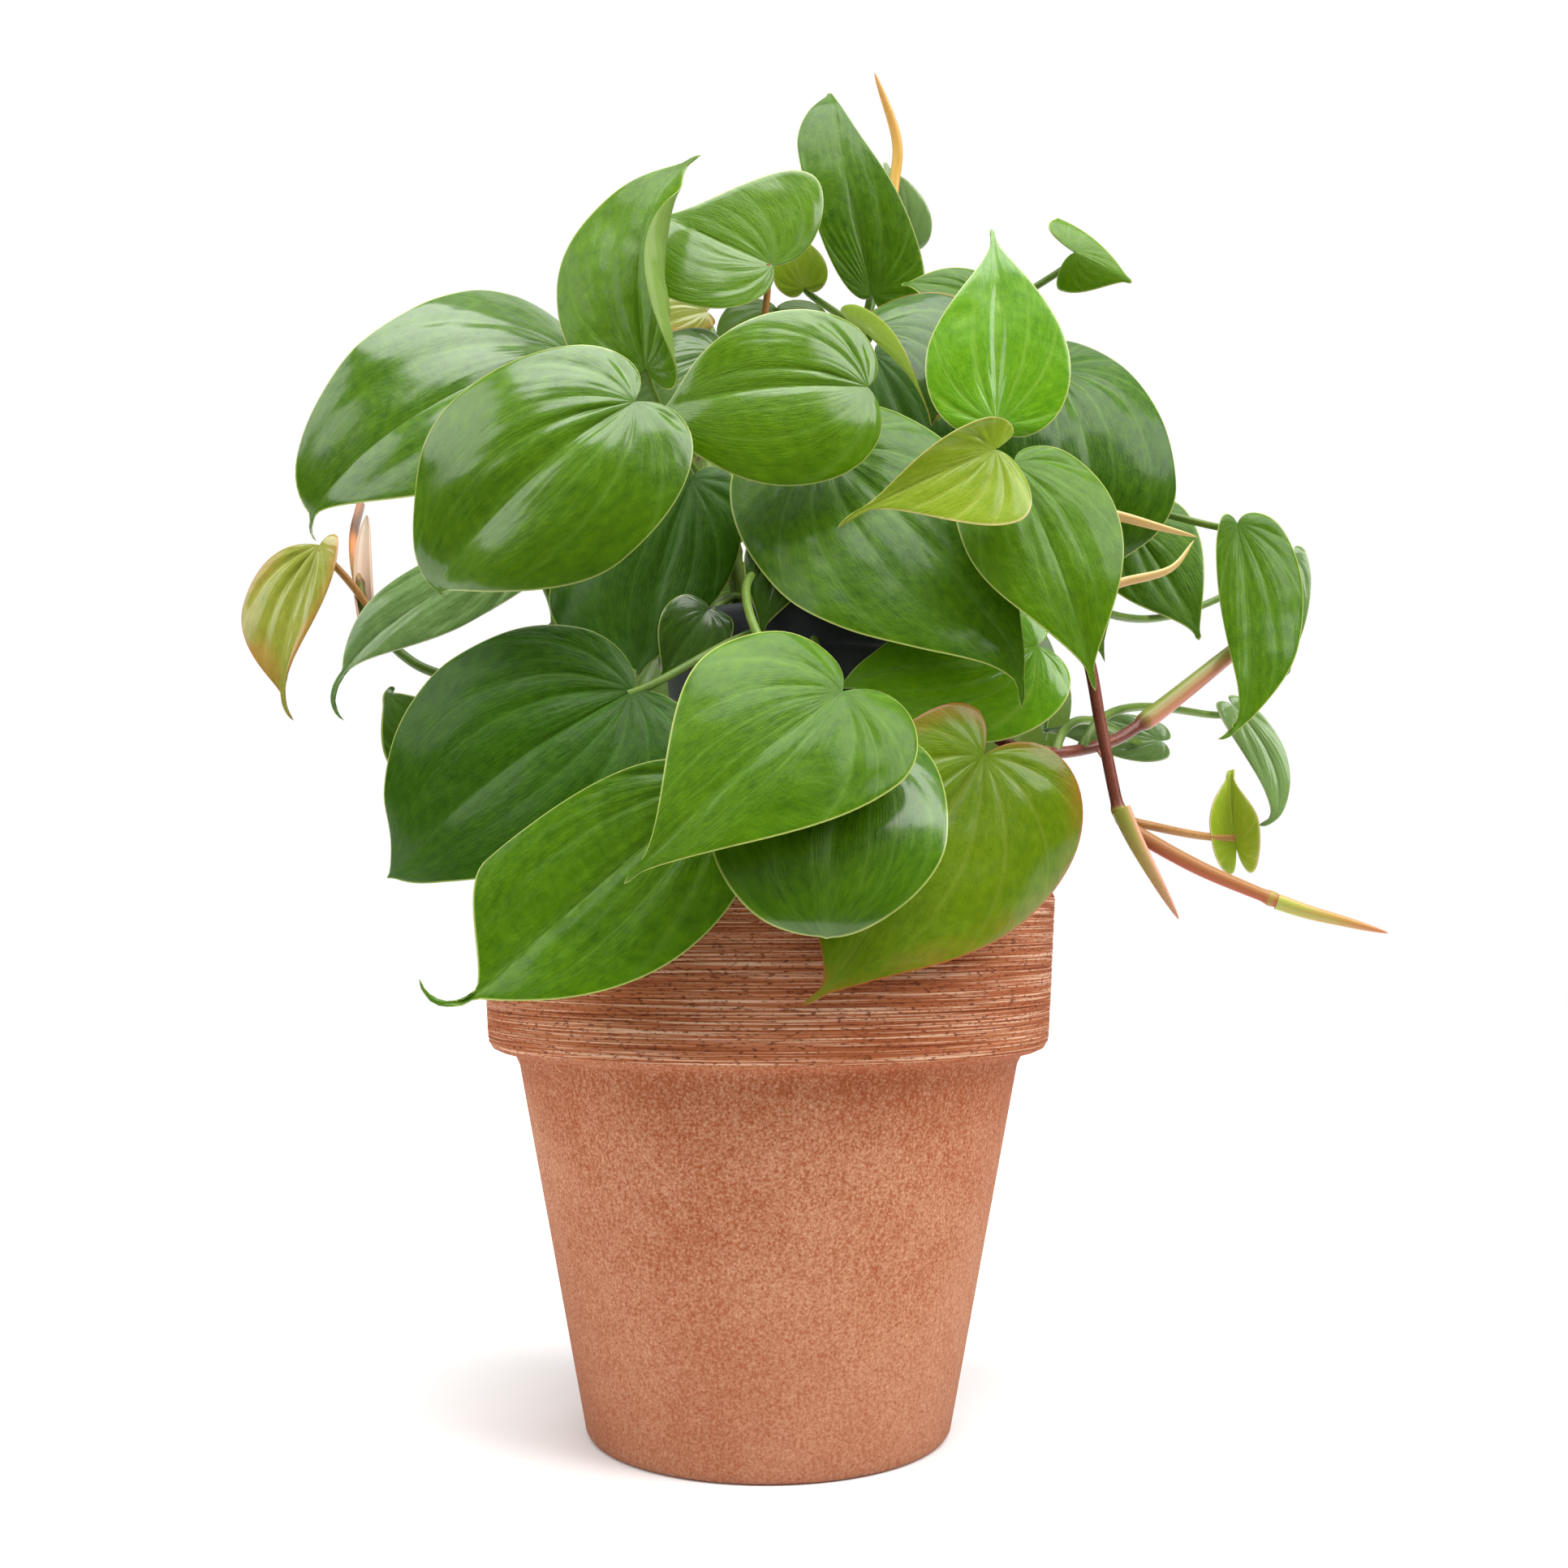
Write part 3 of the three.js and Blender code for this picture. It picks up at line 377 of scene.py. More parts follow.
def carried(path, section, widths, heights, lean=(0.2, 1, 0.15)):
    """A closed section carried along a path. At each point of the path the section's first coordinate, times
    width, runs across, and its second, times height, runs along the path's normal, which leans towards the
    vector lean. Both ends are closed by a fan."""
    along = unit(np.gradient(path, axis=0))
    across = unit(np.cross(along, np.asarray(lean, float)))
    up = np.cross(across, along)
    shape = np.asarray(section, float)
    rings = path[:, None] + across[:, None] * (widths[:, None, None] * shape[:, :1])
    rings = rings + up[:, None] * (heights[:, None, None] * shape[:, 1:])
    points = np.concatenate([path[:1], path[-1:], rings.reshape(-1, 3)])
    return points, poled_faces(len(path), len(shape))


def round_section(sides):
    """A unit circle of so many sides, run clockwise seen along the path so that its faces point outwards."""
    turn = -full_turn(sides)
    return np.stack([np.cos(turn), np.sin(turn)], -1)


def length_along(path):
    """Millimetres from the path's start to each of its points."""
    return np.concatenate([[0], np.cumsum(np.linalg.norm(np.diff(path, axis=0), axis=1))])


def rind(name, young, old, scar, gloss, fresh="#8a9440", blushed="#c98268"):
    """Smooth plant rind: long fine streaks from the attribute along, blotches, and a scar colour where the
    attribute ring is 1. Where the attribute newly is 1 the rind is fresh above and blushed pink below. It has
    a waxy half-gloss."""
    made, node = material(name)
    place = node("TexCoord", give="Object")
    along, around, ring, newly = [
        node("Attribute", give="Fac", attribute_name=key)
        for key in ("along", "around", "ring", "newly")
    ]
    below = node("Math", [around, 0.5], operation="PINGPONG")
    drawn = node("Math", [along, 0.12], operation="MULTIPLY")
    strip = node("CombineXYZ", {"X": drawn, "Y": around})
    streak = node("TexNoise", [strip, 9, 4, 0.65])
    blotch = node("TexNoise", [place, 70, 3])
    both = node("Math", [streak, blotch], operation="ADD")
    mix = node("MapRange", [both, 0.75, 1.25])
    tone = node("Mix", [mix, young, old], data_type="RGBA")
    pink = node("MapRange", [below, 0.15, 0.35])
    soft = node("Mix", [pink, fresh, blushed], data_type="RGBA")
    aged = node("Mix", [newly, tone, soft], data_type="RGBA")
    base = node("Mix", [ring, aged, scar], data_type="RGBA")
    bump = node("Bump", {"Height": streak, "Strength": 0.2, "Distance": 0.0002})
    shader = node("BsdfPrincipled", {"Base Color": base, "Normal": bump, "Roughness": gloss,
                                     "Specular IOR Level": 0.3})
    node("OutputMaterial", [shader])
    return made


def shoot(name, cad_node, finish, slot, thickness, points, rings, swell=0.45, fresh=((0, 0), (1, 0)), roots=()):
    """A round shoot: its radius and its freshness run evenly between the (share, value) pairs given, and it
    swells by a bell curve at each ring, given as a share of its length. Each aerial root is (share, way): a
    stub along way that droops and narrows to its end. The shoot's points are kept for the leaf stalks."""
    shoot_points[cad_node] = points
    path = smooth_path(points, 26 * (len(points) - 1))
    reach = length_along(path)
    share = reach / reach[-1]
    from_ring = (share - np.array(rings)[:, None]) * reach[-1]
    swell_reach, scar_reach, sides = 1.5, 0.6, 16
    bell = np.exp(-((from_ring / swell_reach) ** 2)).sum(0)
    scars = np.clip(np.exp(-((from_ring / scar_reach) ** 2)).sum(0), 0, 1)
    radius = np.interp(share, *zip(*thickness)) + swell * bell
    made, faces = carried(path, round_section(sides), radius, radius)
    values = (reach, np.interp(share, *zip(*fresh)), scars)
    along, newly, ring = ([v[0], v[-1], *np.repeat(v, sides)] for v in values)
    around = [0, 0, *np.tile(np.linspace(0, 1, sides, endpoint=False), len(path))]
    for at, way in roots:
        foot = path[round(at * (len(path) - 1))]
        t = np.linspace(0, 1, 9)
        stub = foot + t[:, None] * np.array(way) - [0, 0, 1.5] * t[:, None] ** 2
        more, more_faces = carried(stub, round_section(8), 0.9 - 0.75 * t, 0.9 - 0.75 * t)
        faces = faces + [group + len(made) for group in more_faces]
        made = np.concatenate([made, more])
        for kept, fill in ((along, 0), (around, 0.5), (newly, 1), (ring, 0)):
            kept += [fill] * len(more)
    piece(name, made, faces, [finish], slot, cad_node, along=along, around=around, newly=newly, ring=ring)


shoot_points = {}
green_rind = rind("green_shoot_rind", "#5d7d2c", "#7d8f3f", "#6b4a2a", 0.42)
green_shoots = [
    ("left_front_shoot", "stem_left_front", 2.2,
     [[-6, -20, 228], [-9, -24, 256], [-15, -24, 280], [-21, -18, 304]], [0.35, 0.62, 0.95]),
    ("front_shoot", "stem_front", 2.2, [[10, -30, 228], [9, -34, 254], [6, -34, 278]], [0.5, 0.76, 0.95]),
    ("centre_shoot", "stem_centre", 2.2, [[20, -8, 228], [18, -12, 262], [14, -14, 292], [18, -8, 324]],
     [0.45, 0.66, 0.9]),
    ("right_front_shoot", "stem_right_front", 2.2, [[38, -28, 228], [42, -30, 254], [46, -28, 278]],
     [0.45, 0.6, 0.93]),
    ("right_leafy_shoot", "leafy_stem_right", 1.8, [[44, 14, 228], [48, 14, 262], [52, 12, 300], [58, 12, 336]],
     [0.3, 0.45, 0.6, 0.8, 0.97]),
    ("left_leafy_shoot", "leafy_stem_left", 1.8,
     [[-8, 14, 228], [-10, 14, 264], [-14, 16, 300], [-18, 20, 340]], [0.3, 0.45, 0.6, 0.9]),
    ("back_leafy_shoot", "leafy_stem_back", 1.6,
     [[22, 26, 228], [24, 28, 266], [26, 34, 306], [30, 42, 350], [42, 56, 400]], [0.3, 0.5, 0.7, 0.9]),
]
for name, cad_node, tip_radius, points, rings in green_shoots:
    shoot(name, cad_node, green_rind, "stem_green", ((0, 2.6), (1, tip_radius)), points, rings)


# Vines: older shoots that have grown over the rim and hang. Their rind has turned red-brown, and the nodes
# are thick rings with short aerial roots.
red_rind = rind("red_vine_rind", "#5e2a1e", "#8c5040", "#8c7a34", 0.3)
orange_rind = rind("orange_vine_rind", "#6e3626", "#8c5040", "#a8a044", 0.32, "#ae7a48", "#b8603e")
olive_rind = rind("olive_vine_rind", "#455c1c", "#5f7a2c", "#6b4a2a", 0.34, "#cc8c52", "#c88050")
shoot("right_hanging_vine", "vine_right", orange_rind, "vine_red",
      ((0, 2.2), (0.6, 1.75), (0.72, 1.8), (0.76, 2.3), (0.86, 2.2), (1, 1.8)),
      [[58, -12, 228], [60, -14, 250], [70, -24, 265], [84, -32, 258], [95, -35, 239], [99.5, -37, 214],
       [103.5, -40, 190], [106, -41, 184.5], [112, -42, 180], [128, -44, 171], [148, -48, 162]],
      [0.18, 0.327, 0.715, 0.988], 0.5, ((0.71, 0), (0.74, 0.8), (1, 1)),
      [(0.71, (-2.6, -1, 0.6)), (0.715, (2.4, -1, 1.6))])
shoot("lower_right_vine", "vine_lower_right", red_rind, "vine_red",
      ((0, 2.2), (0.6, 1.8), (0.765, 1.9), (0.785, 3), (1, 2.5)),
      [[50, -29, 228], [54, -36, 254], [56, -43, 259], [58, -43, 246], [60, -42, 228], [67, -44, 211],
       [80, -42, 206], [99, -30, 209], [115, -20, 217], [148, -6, 242]], [0.28, 0.55, 0.772], 0.4,
      ((0.765, 0), (0.78, 1), (1, 0.9)),
      [(0.64, (-3, -2, -9)), (0.645, (0.5, -2, -6)), (0.765, (-2.5, -1, 2.8)), (0.775, (1.5, -1.5, -2))])
shoot("left_hanging_vine", "vine_left", olive_rind, "vine_red", ((0, 2.1), (0.6, 1.5), (1, 1.4)),
      [[-22, -6, 228], [-28, -9, 250], [-42, -14, 262], [-62, -22, 250], [-84, -30, 231], [-104, -32, 232.5],
       [-120, -30, 246.5], [-126, -27, 261], [-131, -13, 277], [-137, 18, 295]], [0.3, 0.5, 0.72], 0.5,
      ((0.7, 0), (0.78, 1), (1, 1)))


# Papery sheaths: the thin scales that wrapped each new leaf. They stay on at a node as dry yellow to pinkish
# strips, rolled lengthwise into a channel and drawn out to a point. The rolled new leaf is built the same way.
def dry_paper(name, base_hex, tip_hex, edge_hex, gloss):
    """Sheath skin: lengthwise fibres, the base colour running to the tip colour with the attribute share, and
    the edge colour along the two long edges."""
    made, node = material(name)
    share, around = [node("Attribute", give="Fac", attribute_name=key) for key in ("share", "around")]
    strip = node("CombineXYZ", {"X": share, "Y": around})
    wide = node("Mapping", {"Vector": strip, "Scale": (2, 18, 1)})
    fibre = node("TexNoise", [wide, 1.6, 4])
    move = node("Math", [fibre, 0.5], operation="SUBTRACT")
    blend = node("Math", [share, move], operation="ADD", use_clamp=True)
    body = node("Mix", [blend, base_hex, tip_hex], data_type="RGBA")
    inward = node("Math", [around, 0.25], operation="PINGPONG")
    edge = node("MapRange", [inward, 0, 0.12, 0.8, 0])
    base = node("Mix", [edge, body, edge_hex], data_type="RGBA")
    bump = node("Bump", {"Height": fibre, "Strength": 0.2, "Distance": 0.0002})
    shader = node("BsdfPrincipled", {"Base Color": base, "Normal": bump, "Roughness": gloss,
                                     "Subsurface Weight": 0.15, "Subsurface Radius": (0.002, 0.001, 0.0005)})
    node("OutputMaterial", [shader])
    return made


def sheath(name, cad_node, finish, width, points, open_side=(0, 0, 1), belly=0.75, slot="dry_sheath"):
    """A channel that narrows to a point: half width = width (0.75 + belly s) (1 - s)^0.6 along the share s, at
    least 0.1 mm. Its crescent section is an arc of 218 degrees with a wall of a fifth of its half width."""
    path = smooth_path(points, 60)
    share = length_along(path) / length_along(path)[-1]
    half = np.maximum(width * (0.75 + belly * share) * (1 - share) ** 0.6, 0.1)
    turn = np.linspace(1.9, -1.9, 14)
    arc = np.stack([np.sin(turn), -np.cos(turn) * 0.8], -1)
    section = np.concatenate([arc, arc[::-1] * 0.8])
    sides = len(section)
    made, faces = carried(path, section, half, half, open_side)
    piece(name, made, faces, [finish], slot, cad_node, share=[0, 1, *np.repeat(share, sides)],
          around=[0, 0, *np.tile(np.linspace(0, 1, sides), len(path))])


golden_paper = dry_paper("golden_sheath_paper", "#ecc44c", "#eeb060", "#e8a458", 0.4)
sheath("top_sheath", "sheath_top", golden_paper, 2,
       [[42, 56, 399.5], [45, 60, 424], [46, 60, 442], [38, 58, 466]], (0.4, 1, 0), 1.5)
pale_paper = dry_paper("pale_sheath_paper", "#c8924e", "#e2be74", "#ecd694", 0.45)
sheath("right_upper_sheath", "sheath_right_upper", pale_paper, 2.6,
       [[86, -33, 256], [85, -29, 270], [95, -27, 283], [108, -25, 281], [122, -22, 278], [134, -18, 276]],
       (0, 0.6, 1))
sheath("right_lower_sheath", "sheath_right_lower", pale_paper, 2.5,
       [[91, -33, 250], [98, -30, 255], [108, -26, 260], [124, -22, 265], [133, -18, 275]], (0, 0.4, 1))
pink_paper = dry_paper("pinkish_sheath_paper", "#dcb49a", "#ecdcc8", "#c8a080", 0.4)
sheath("left_sheath", "sheath_left", pink_paper, 3.7,
       [[-122, -30.5, 248], [-123.5, -29.5, 258], [-124.4, -27, 270], [-124.2, -24, 281.5]], (0.2, -1, 0.2))
fresh_skin = dry_paper("fresh_sheath_skin", "#a4ac48", "#cc9474", "#dc8474", 0.35)
sheath("vine_sheath", "sheath_vine", fresh_skin, 4.7,
       [[104.5, -41, 189], [108, -43, 180], [113, -46, 169], [119, -48, 157]], (0.8, 0.5, 0.6), 0.1)
new_leaf_skin = dry_paper("rolled_new_leaf_skin", "#b2bc54", "#cc7c50", "#d8805c", 0.32)
sheath("rolled_new_leaf", "new_leaf_vine", new_leaf_skin, 3.2,
       [[147.5, -48, 162], [156, -49.5, 159], [167, -51, 156], [178, -52, 153]], (0, 1, 0.6), 0.2,
       "rolled_leaf")


# Leaves: heart-shaped blades on arching stalks, each grown from a node of a stem or vine. A blade is thin and
# waxy, rises a little to both sides of a sunk midrib, and puffs up between the arcs of its side veins. Its
# underside is paler and dull.
def blade_skin(name, deep, bright, vein, edge, back, gloss=0.28, wax=0.75, blush=0):
    """Leaf skin: deep to bright green in 25 mm clouds and in streaks that follow the veins, under a wax film
    of the weight wax. Veins lie every 0.5 of vein_turn, about 1 mm wide by vein_span, and fade with reach; the
    midrib is a 1.2 mm stripe at across = 0 in a faint halo. The last 0.6 mm of margin takes the edge colour,
    which spreads inwards in blotches over 9 mm by blush. Where under is 1 the skin is dull and of the back
    colour. The leathery grain is drawn at 0.9 mm, coarser than the real 0.3 mm, so that it shows."""
    made, node = material(name)
    place = node("TexCoord", give="Object")
    turn, span, across, margin, under, sun, reach, own = [
        node("Attribute", give="Fac", attribute_name=key)
        for key in ("vein_turn", "vein_span", "across", "margin", "under", "sun", "reach", "own")
    ]
    slow = node("Math", [reach, 0.03], operation="MULTIPLY")
    flow = node("CombineXYZ", [turn, slow, own])
    slower = node("Math", [reach, 0.008], operation="MULTIPLY")
    grain = node("CombineXYZ", [turn, slower, own])
    streak = node("TexNoise", [flow, 9, 6, 0.62])
    ripple = node("TexNoise", [grain, 26, 4, 0.6])
    cloud = node("TexNoise", [place, 38, 5, 0.6])
    leather = node("TexNoise", [place, 1100, 2])
    both = node("Math", [cloud, 0.5, streak], operation="MULTIPLY_ADD")
    # painted light and shade: each leaf's greens are raised or lowered to how brightly it is lit, on top of its
    # own tone
    mixed = node("Math", [both, sun], operation="ADD")
    blend = node("MapRange", [mixed, 0.85, 1.65])
    green = node("Mix", [blend, deep, bright], data_type="RGBA")
    saw = node("Math", [turn, 0.25], operation="PINGPONG")
    wide = node("Math", [saw, span], operation="MULTIPLY")
    fine = node("MapRange", [wide, 0, 1, 1, 0])
    spread = node("MapRange", [span, 3, 12, 0, 0.35])
    faded = node("MapRange", [reach, 10, 55, 1, 0.25])
    shown = node("Math", [fine, spread], operation="MULTIPLY")
    side_vein = node("Math", [shown, faded], operation="MULTIPLY")
    stripe = node("MapRange", [across, 0.2, 0.6, 0.16, 0])
    halo = node("MapRange", [across, 0.5, 3, 0.13, 0])
    rib = node("Math", [stripe, halo], operation="MAXIMUM")
    veins = node("Math", [side_vein, rib], operation="MAXIMUM")
    lined = node("Mix", [veins, green, vein], data_type="RGBA")
    warm = node("MapRange", [margin, 0, 9, 1.6, 0])
    patch = node("MapRange", [cloud, 0.4, 0.65, 0, blush])
    warmed = node("Math", [warm, patch], operation="MULTIPLY", use_clamp=True)
    flushed = node("Mix", [warmed, lined, edge], data_type="RGBA")
    rim = node("MapRange", [margin, 0.15, 0.65, 0.9, 0])
    top = node("Mix", [rim, flushed, edge], data_type="RGBA")
    matt = node("Mix", [0.75, flushed, back], data_type="RGBA")
    base = node("Mix", [under, top, matt], data_type="RGBA")
    waxy = node("MapRange", [streak, 0, 1, gloss - 0.08, gloss + 0.12])
    rough = node("Mix", [under, waxy, 0.6])
    raised = node("Math", [ripple, side_vein], operation="SUBTRACT")
    wavy = node("Bump", {"Height": raised, "Strength": 0.45, "Distance": 0.0006})
    bump = node("Bump", {"Height": leather, "Strength": 0.4, "Distance": 0.0002, "Normal": wavy})
    shader = node("BsdfPrincipled", {
        "Base Color": base, "Roughness": rough, "Normal": bump, "Specular IOR Level": 0.14, "Coat Weight": wax,
        "Coat Roughness": 0.17, "Subsurface Weight": 0.08, "Subsurface Radius": (0.0012, 0.0022, 0.0004),
    })
    node("OutputMaterial", [shader])
    return made


def half_outline(count, wide, point, lobe, drip, length, width):
    """Half a leaf laid flat, as shares of its length and half width, cut at count even places. From the notch
    a cubic curve swings back by about the share lobe and out to the widest place, at the share wide; from
    there the width falls as (1 - u^2)^point; and the last share drip is a tip 0.9 mm to each side."""
    t = np.linspace(0, 1, 600)
    back = 3 * (1 - t) ** 2 * t * (-1.8 * lobe) + 3 * (1 - t) * t**2 * (0.1 * wide - 0.8 * lobe) + t**3 * wide
    out = 3 * (1 - t) ** 2 * t * 0.25 + 3 * (1 - t) * t**2 + t**3
    u = np.linspace(0, 1, 1400)[1:]
    far = wide + (1 - wide) * u
    body = (1 - np.clip((far - wide) / (1 - drip - wide), 0, 1) ** 2) ** point
    thin = 0.9 / width * np.sqrt(np.clip((1 - far) / drip, 0, 1)) * u
    along = np.concatenate([back, far])
    across = np.concatenate([out, np.hypot(body, thin)])
    reach = length_along(np.stack([along * length, across * width], -1))
    even = np.linspace(0, reach[-1], count + 1)[1:]
    return np.stack([np.interp(even, reach, along), np.interp(even, reach, across)], -1)


rib_steps = 60


def midrib(notch, tip, face, bend, sway, hook):
    """The midrib as 60 small steps. A step's turn down is bend s^1.3 and its turn sideways sway s^2, and both
    gain their share of hook over the last fifth. The whole is then turned and scaled to run from notch to
    tip with its upper side towards face. Returns the points, the directions, the scale and the upper side."""
    s = (np.arange(rib_steps) + 0.5) / rib_steps
    late = np.clip((s - 0.8) / 0.2, 0, 1) ** 1.5
    down = np.radians(bend * s**1.3 + hook[0] * late)
    side = np.radians(sway * s**2 + hook[1] * late)
    steps = np.stack([np.cos(down) * np.cos(side), -np.sin(down), np.cos(down) * np.sin(side)], -1) / rib_steps
    points = np.concatenate([[[0, 0, 0]], np.cumsum(steps, 0)])
    chord = unit(points[-1])
    up = unit(np.array([0, 1, 0]) - chord * chord[1])
    own = np.stack([chord, up, np.cross(chord, up)])
    axis = unit(tip - notch)
    top = unit(face - axis * (face @ axis))
    turn = own.T @ np.stack([axis, top, np.cross(axis, top)])
    scale = np.linalg.norm(tip - notch) / np.linalg.norm(points[-1])
    return points @ turn * scale + notch, unit(steps @ turn), scale, top


def blade_point(rib, a, c, half, fold, curl, lobe, lift):
    """A place on the blade at share a along the midrib and c across it. From the midrib, each half leaves at
    its fold angle and turns on by its curl over its width, so it follows an arc of a circle; a lobe (a below
    zero) runs straight back from the notch and is raised by lift times (a / lobe)^2."""
    line, directions, scale, top = rib
    s = np.clip(a, 0, 1)[..., None] * rib_steps
    i = np.minimum(s.astype(int), rib_steps - 1)
    middle = np.clip(s - 0.5, 0, rib_steps - 1.001)
    k = np.minimum(middle.astype(int), rib_steps - 2)
    at = (line[i] + (line[i + 1] - line[i]) * (s - i)[..., None])[..., 0, :]
    turn = (middle - k)[..., None]
    along = unit((directions[k] + (directions[k + 1] - directions[k]) * turn)[..., 0, :])
    along = np.where((a < 0)[..., None], directions[0], along)
    up = unit(top - along * (along @ top)[..., None])
    back = np.minimum(a, 0)[..., None]
    right = (c >= 0).astype(int)
    at = at + along * scale * back + up * lift * (back / np.maximum(lobe, 0.02)[right][..., None]) ** 2
    width, rise = np.asarray(half, float)[right], np.radians(np.asarray(fold, float))[right]
    rate = np.radians(np.where(np.asarray(curl) == 0, 0.01, curl))[right] / width
    far = np.abs(c) * width
    out = (np.sin(rise + rate * far) - np.sin(rise)) / rate
    high = (np.cos(rise) - np.cos(rise + rate * far)) / rate
    sideways = np.cross(along, up) * np.where(right, 1, -1)[..., None]
    return at + sideways * out[..., None] + up * high[..., None], far


def sheet_normals(points, triangles):
    """The unit normal at each point: the sum of the cross products of the triangles that meet in it."""
    a, b, c = points[triangles[:, 0]], points[triangles[:, 1]], points[triangles[:, 2]]
    total = np.zeros_like(points)
    for corner in range(3):
        np.add.at(total, triangles[:, corner], np.cross(b - a, c - a))
    return unit(total)


def blade(rib, length, half, wide, point, lobe, drip, fold, curl, lift, count, rings, seed, puff=1.1, wave=0.8):
    """The blade as rays from the notch to the outline, crossed by rings that crowd towards the margin.
    vein_turn is the angle seen from the notch plus the angle seen from the tip, which is even along arcs
    that leave the notch and meet in the tip. The relief is puff mm of swelling between those veins, which
    dies out towards the margin; fine ripples and dimples of 0.1 mm; a 0.25 mm groove on the midrib; and wave
    mm of soft unevenness that grows towards the tip. It is scaled down on leaves shorter than 75 mm. Both
    faces are the relief moved along its normals by half the thickness, 0.6 mm at most and 0.3 mm at the
    margin, where a strip joins them."""
    left, right = (
        half_outline(count, *side, drip, length, width) for *side, width in zip(wide, point, lobe, half)
    )
    outline = np.concatenate([right, left[:-1][::-1] * [1, -1]])
    rays = len(outline)
    share = 1 - (1 - np.arange(1, rings + 1) / rings) ** 1.3
    a = np.concatenate([[0], (share[:, None] * outline[:, 0]).ravel()])
    c = np.concatenate([[0], (share[:, None] * outline[:, 1]).ravel()])
    points, across = blade_point(rib, a, c, half, fold, curl, lobe, lift)
    x = a * length
    near, far = np.hypot(x, across), np.hypot(length - x, across)
    bent = np.arctan2(across, x) + np.arctan2(across, length - x)
    side = np.where(c < 0, -1, 1)
    edge = np.linalg.norm(outline * [length, np.mean(half)], axis=1)
    off_margin = 9
    margin = np.concatenate([[off_margin], ((1 - share)[:, None] * edge).ravel()])
    seen = near / length
    vein_step, ripple_step = 0.5, 0.15
    turn = bent + 0.1 * lumps(side * bent * 20, seen * 8, 22, seed + 3)
    valley = (0.5 + 0.5 * np.cos(2 * np.pi * turn / vein_step)) ** 2
    depth = np.clip(0.6 + 0.6 * lumps(side * bent * 16, seen * 10, 24, seed + 9), 0.05, 1.5)
    inside = np.clip((near - 2) / 8, 0, 1) * np.clip(margin / 6, 0, 1)
    strength = inside * np.clip(1.2 - 1.35 * seen, 0, 1)
    swelling = puff * valley * strength * depth
    fine = np.sin(2 * np.pi * bent / ripple_step + 3 * lumps(seen * 20, bent * 14, 12, seed + 5))
    dimple = lumps(x, side * across, 11, seed + 7)
    uneven = lumps(x, side * across, 28, seed) * seen**1.5
    small = np.clip(length / 75, 0.3, 1)
    relief = small * (wave * uneven - swelling + inside * (0.07 * fine + 0.09 * dimple))
    sunk = np.clip(near / 5, 0, 1) * np.clip(1.3 - seen, 0, 1) * (a > 0)
    relief = relief - 0.25 * small * np.exp(-((across / 2) ** 2)) * sunk
    r, k = np.mgrid[0 : rings - 1, 0 : rays - 1]
    q = 1 + r * rays + k
    quads = np.stack([q, q + rays, q + rays + 1, q + 1], -1).reshape(-1, 4)
    fan = 1 + np.arange(rays - 1)
    fan = np.stack([0 * fan, fan, fan + 1], -1)
    triangles = np.concatenate([quads[:, :3], quads[:, [0, 2, 3]], fan])
    points = points + sheet_normals(points, triangles) * relief[:, None]
    thick = (0.14 + 0.16 * np.clip(margin / 1.2, 0, 1))[:, None] * sheet_normals(points, triangles)
    n = len(points)
    rim = 1 + (rings - 1) * rays
    ends = 1 + np.arange(rings) * rays
    loop = np.concatenate([[0], ends, rim + 1 + np.arange(rays - 1), (ends + rays - 1)[-2::-1]])
    after = np.roll(loop, -1)
    strip = np.stack([after, loop, loop + n, after + n], -1)
    faces = [quads, fan, (quads + n)[:, ::-1], (fan + n)[:, ::-1], strip]
    values = dict(vein_turn=turn * side, vein_span=near * far / length, across=np.where(a > 0, across, 9),
                  margin=margin, reach=near)
    values = {key: np.tile(value, 2) for key, value in values.items()}
    values["under"] = np.repeat([0, 1], n)
    return np.concatenate([points + thick, points - thick]), faces, values


def stalk(root, rise, reach, end):
    """A leaf stalk: a cubic curve from the stem to under the notch, whose radius falls from 1.44 to 1.12 mm,
    with a sheathed swelling at its foot and a soft knee under the blade."""
    steps, sides, swell_reach = 22, 10, 2.5
    t = np.linspace(0, 1, steps)[:, None]
    path = (1 - t) ** 3 * root + 3 * (1 - t) ** 2 * t * rise + 3 * (1 - t) * t**2 * reach + t**3 * end
    far = length_along(path)
    radius = 1.25 * (1.15 - 0.25 * t[:, 0]) + 0.55 * np.exp(-((far / swell_reach) ** 2))
    radius = radius + 0.18 * np.exp(-(((far[-1] - far) / swell_reach) ** 2))
    points, faces = carried(path, round_section(sides), radius, radius * 0.92)
    along = np.concatenate([[0, far[-1]], np.repeat(far, sides)])
    around = np.concatenate([[0, 0], np.tile(np.linspace(0, 1, sides), steps)])
    return points, faces, dict(along=along, around=around, ring=0 * along, newly=0 * along)


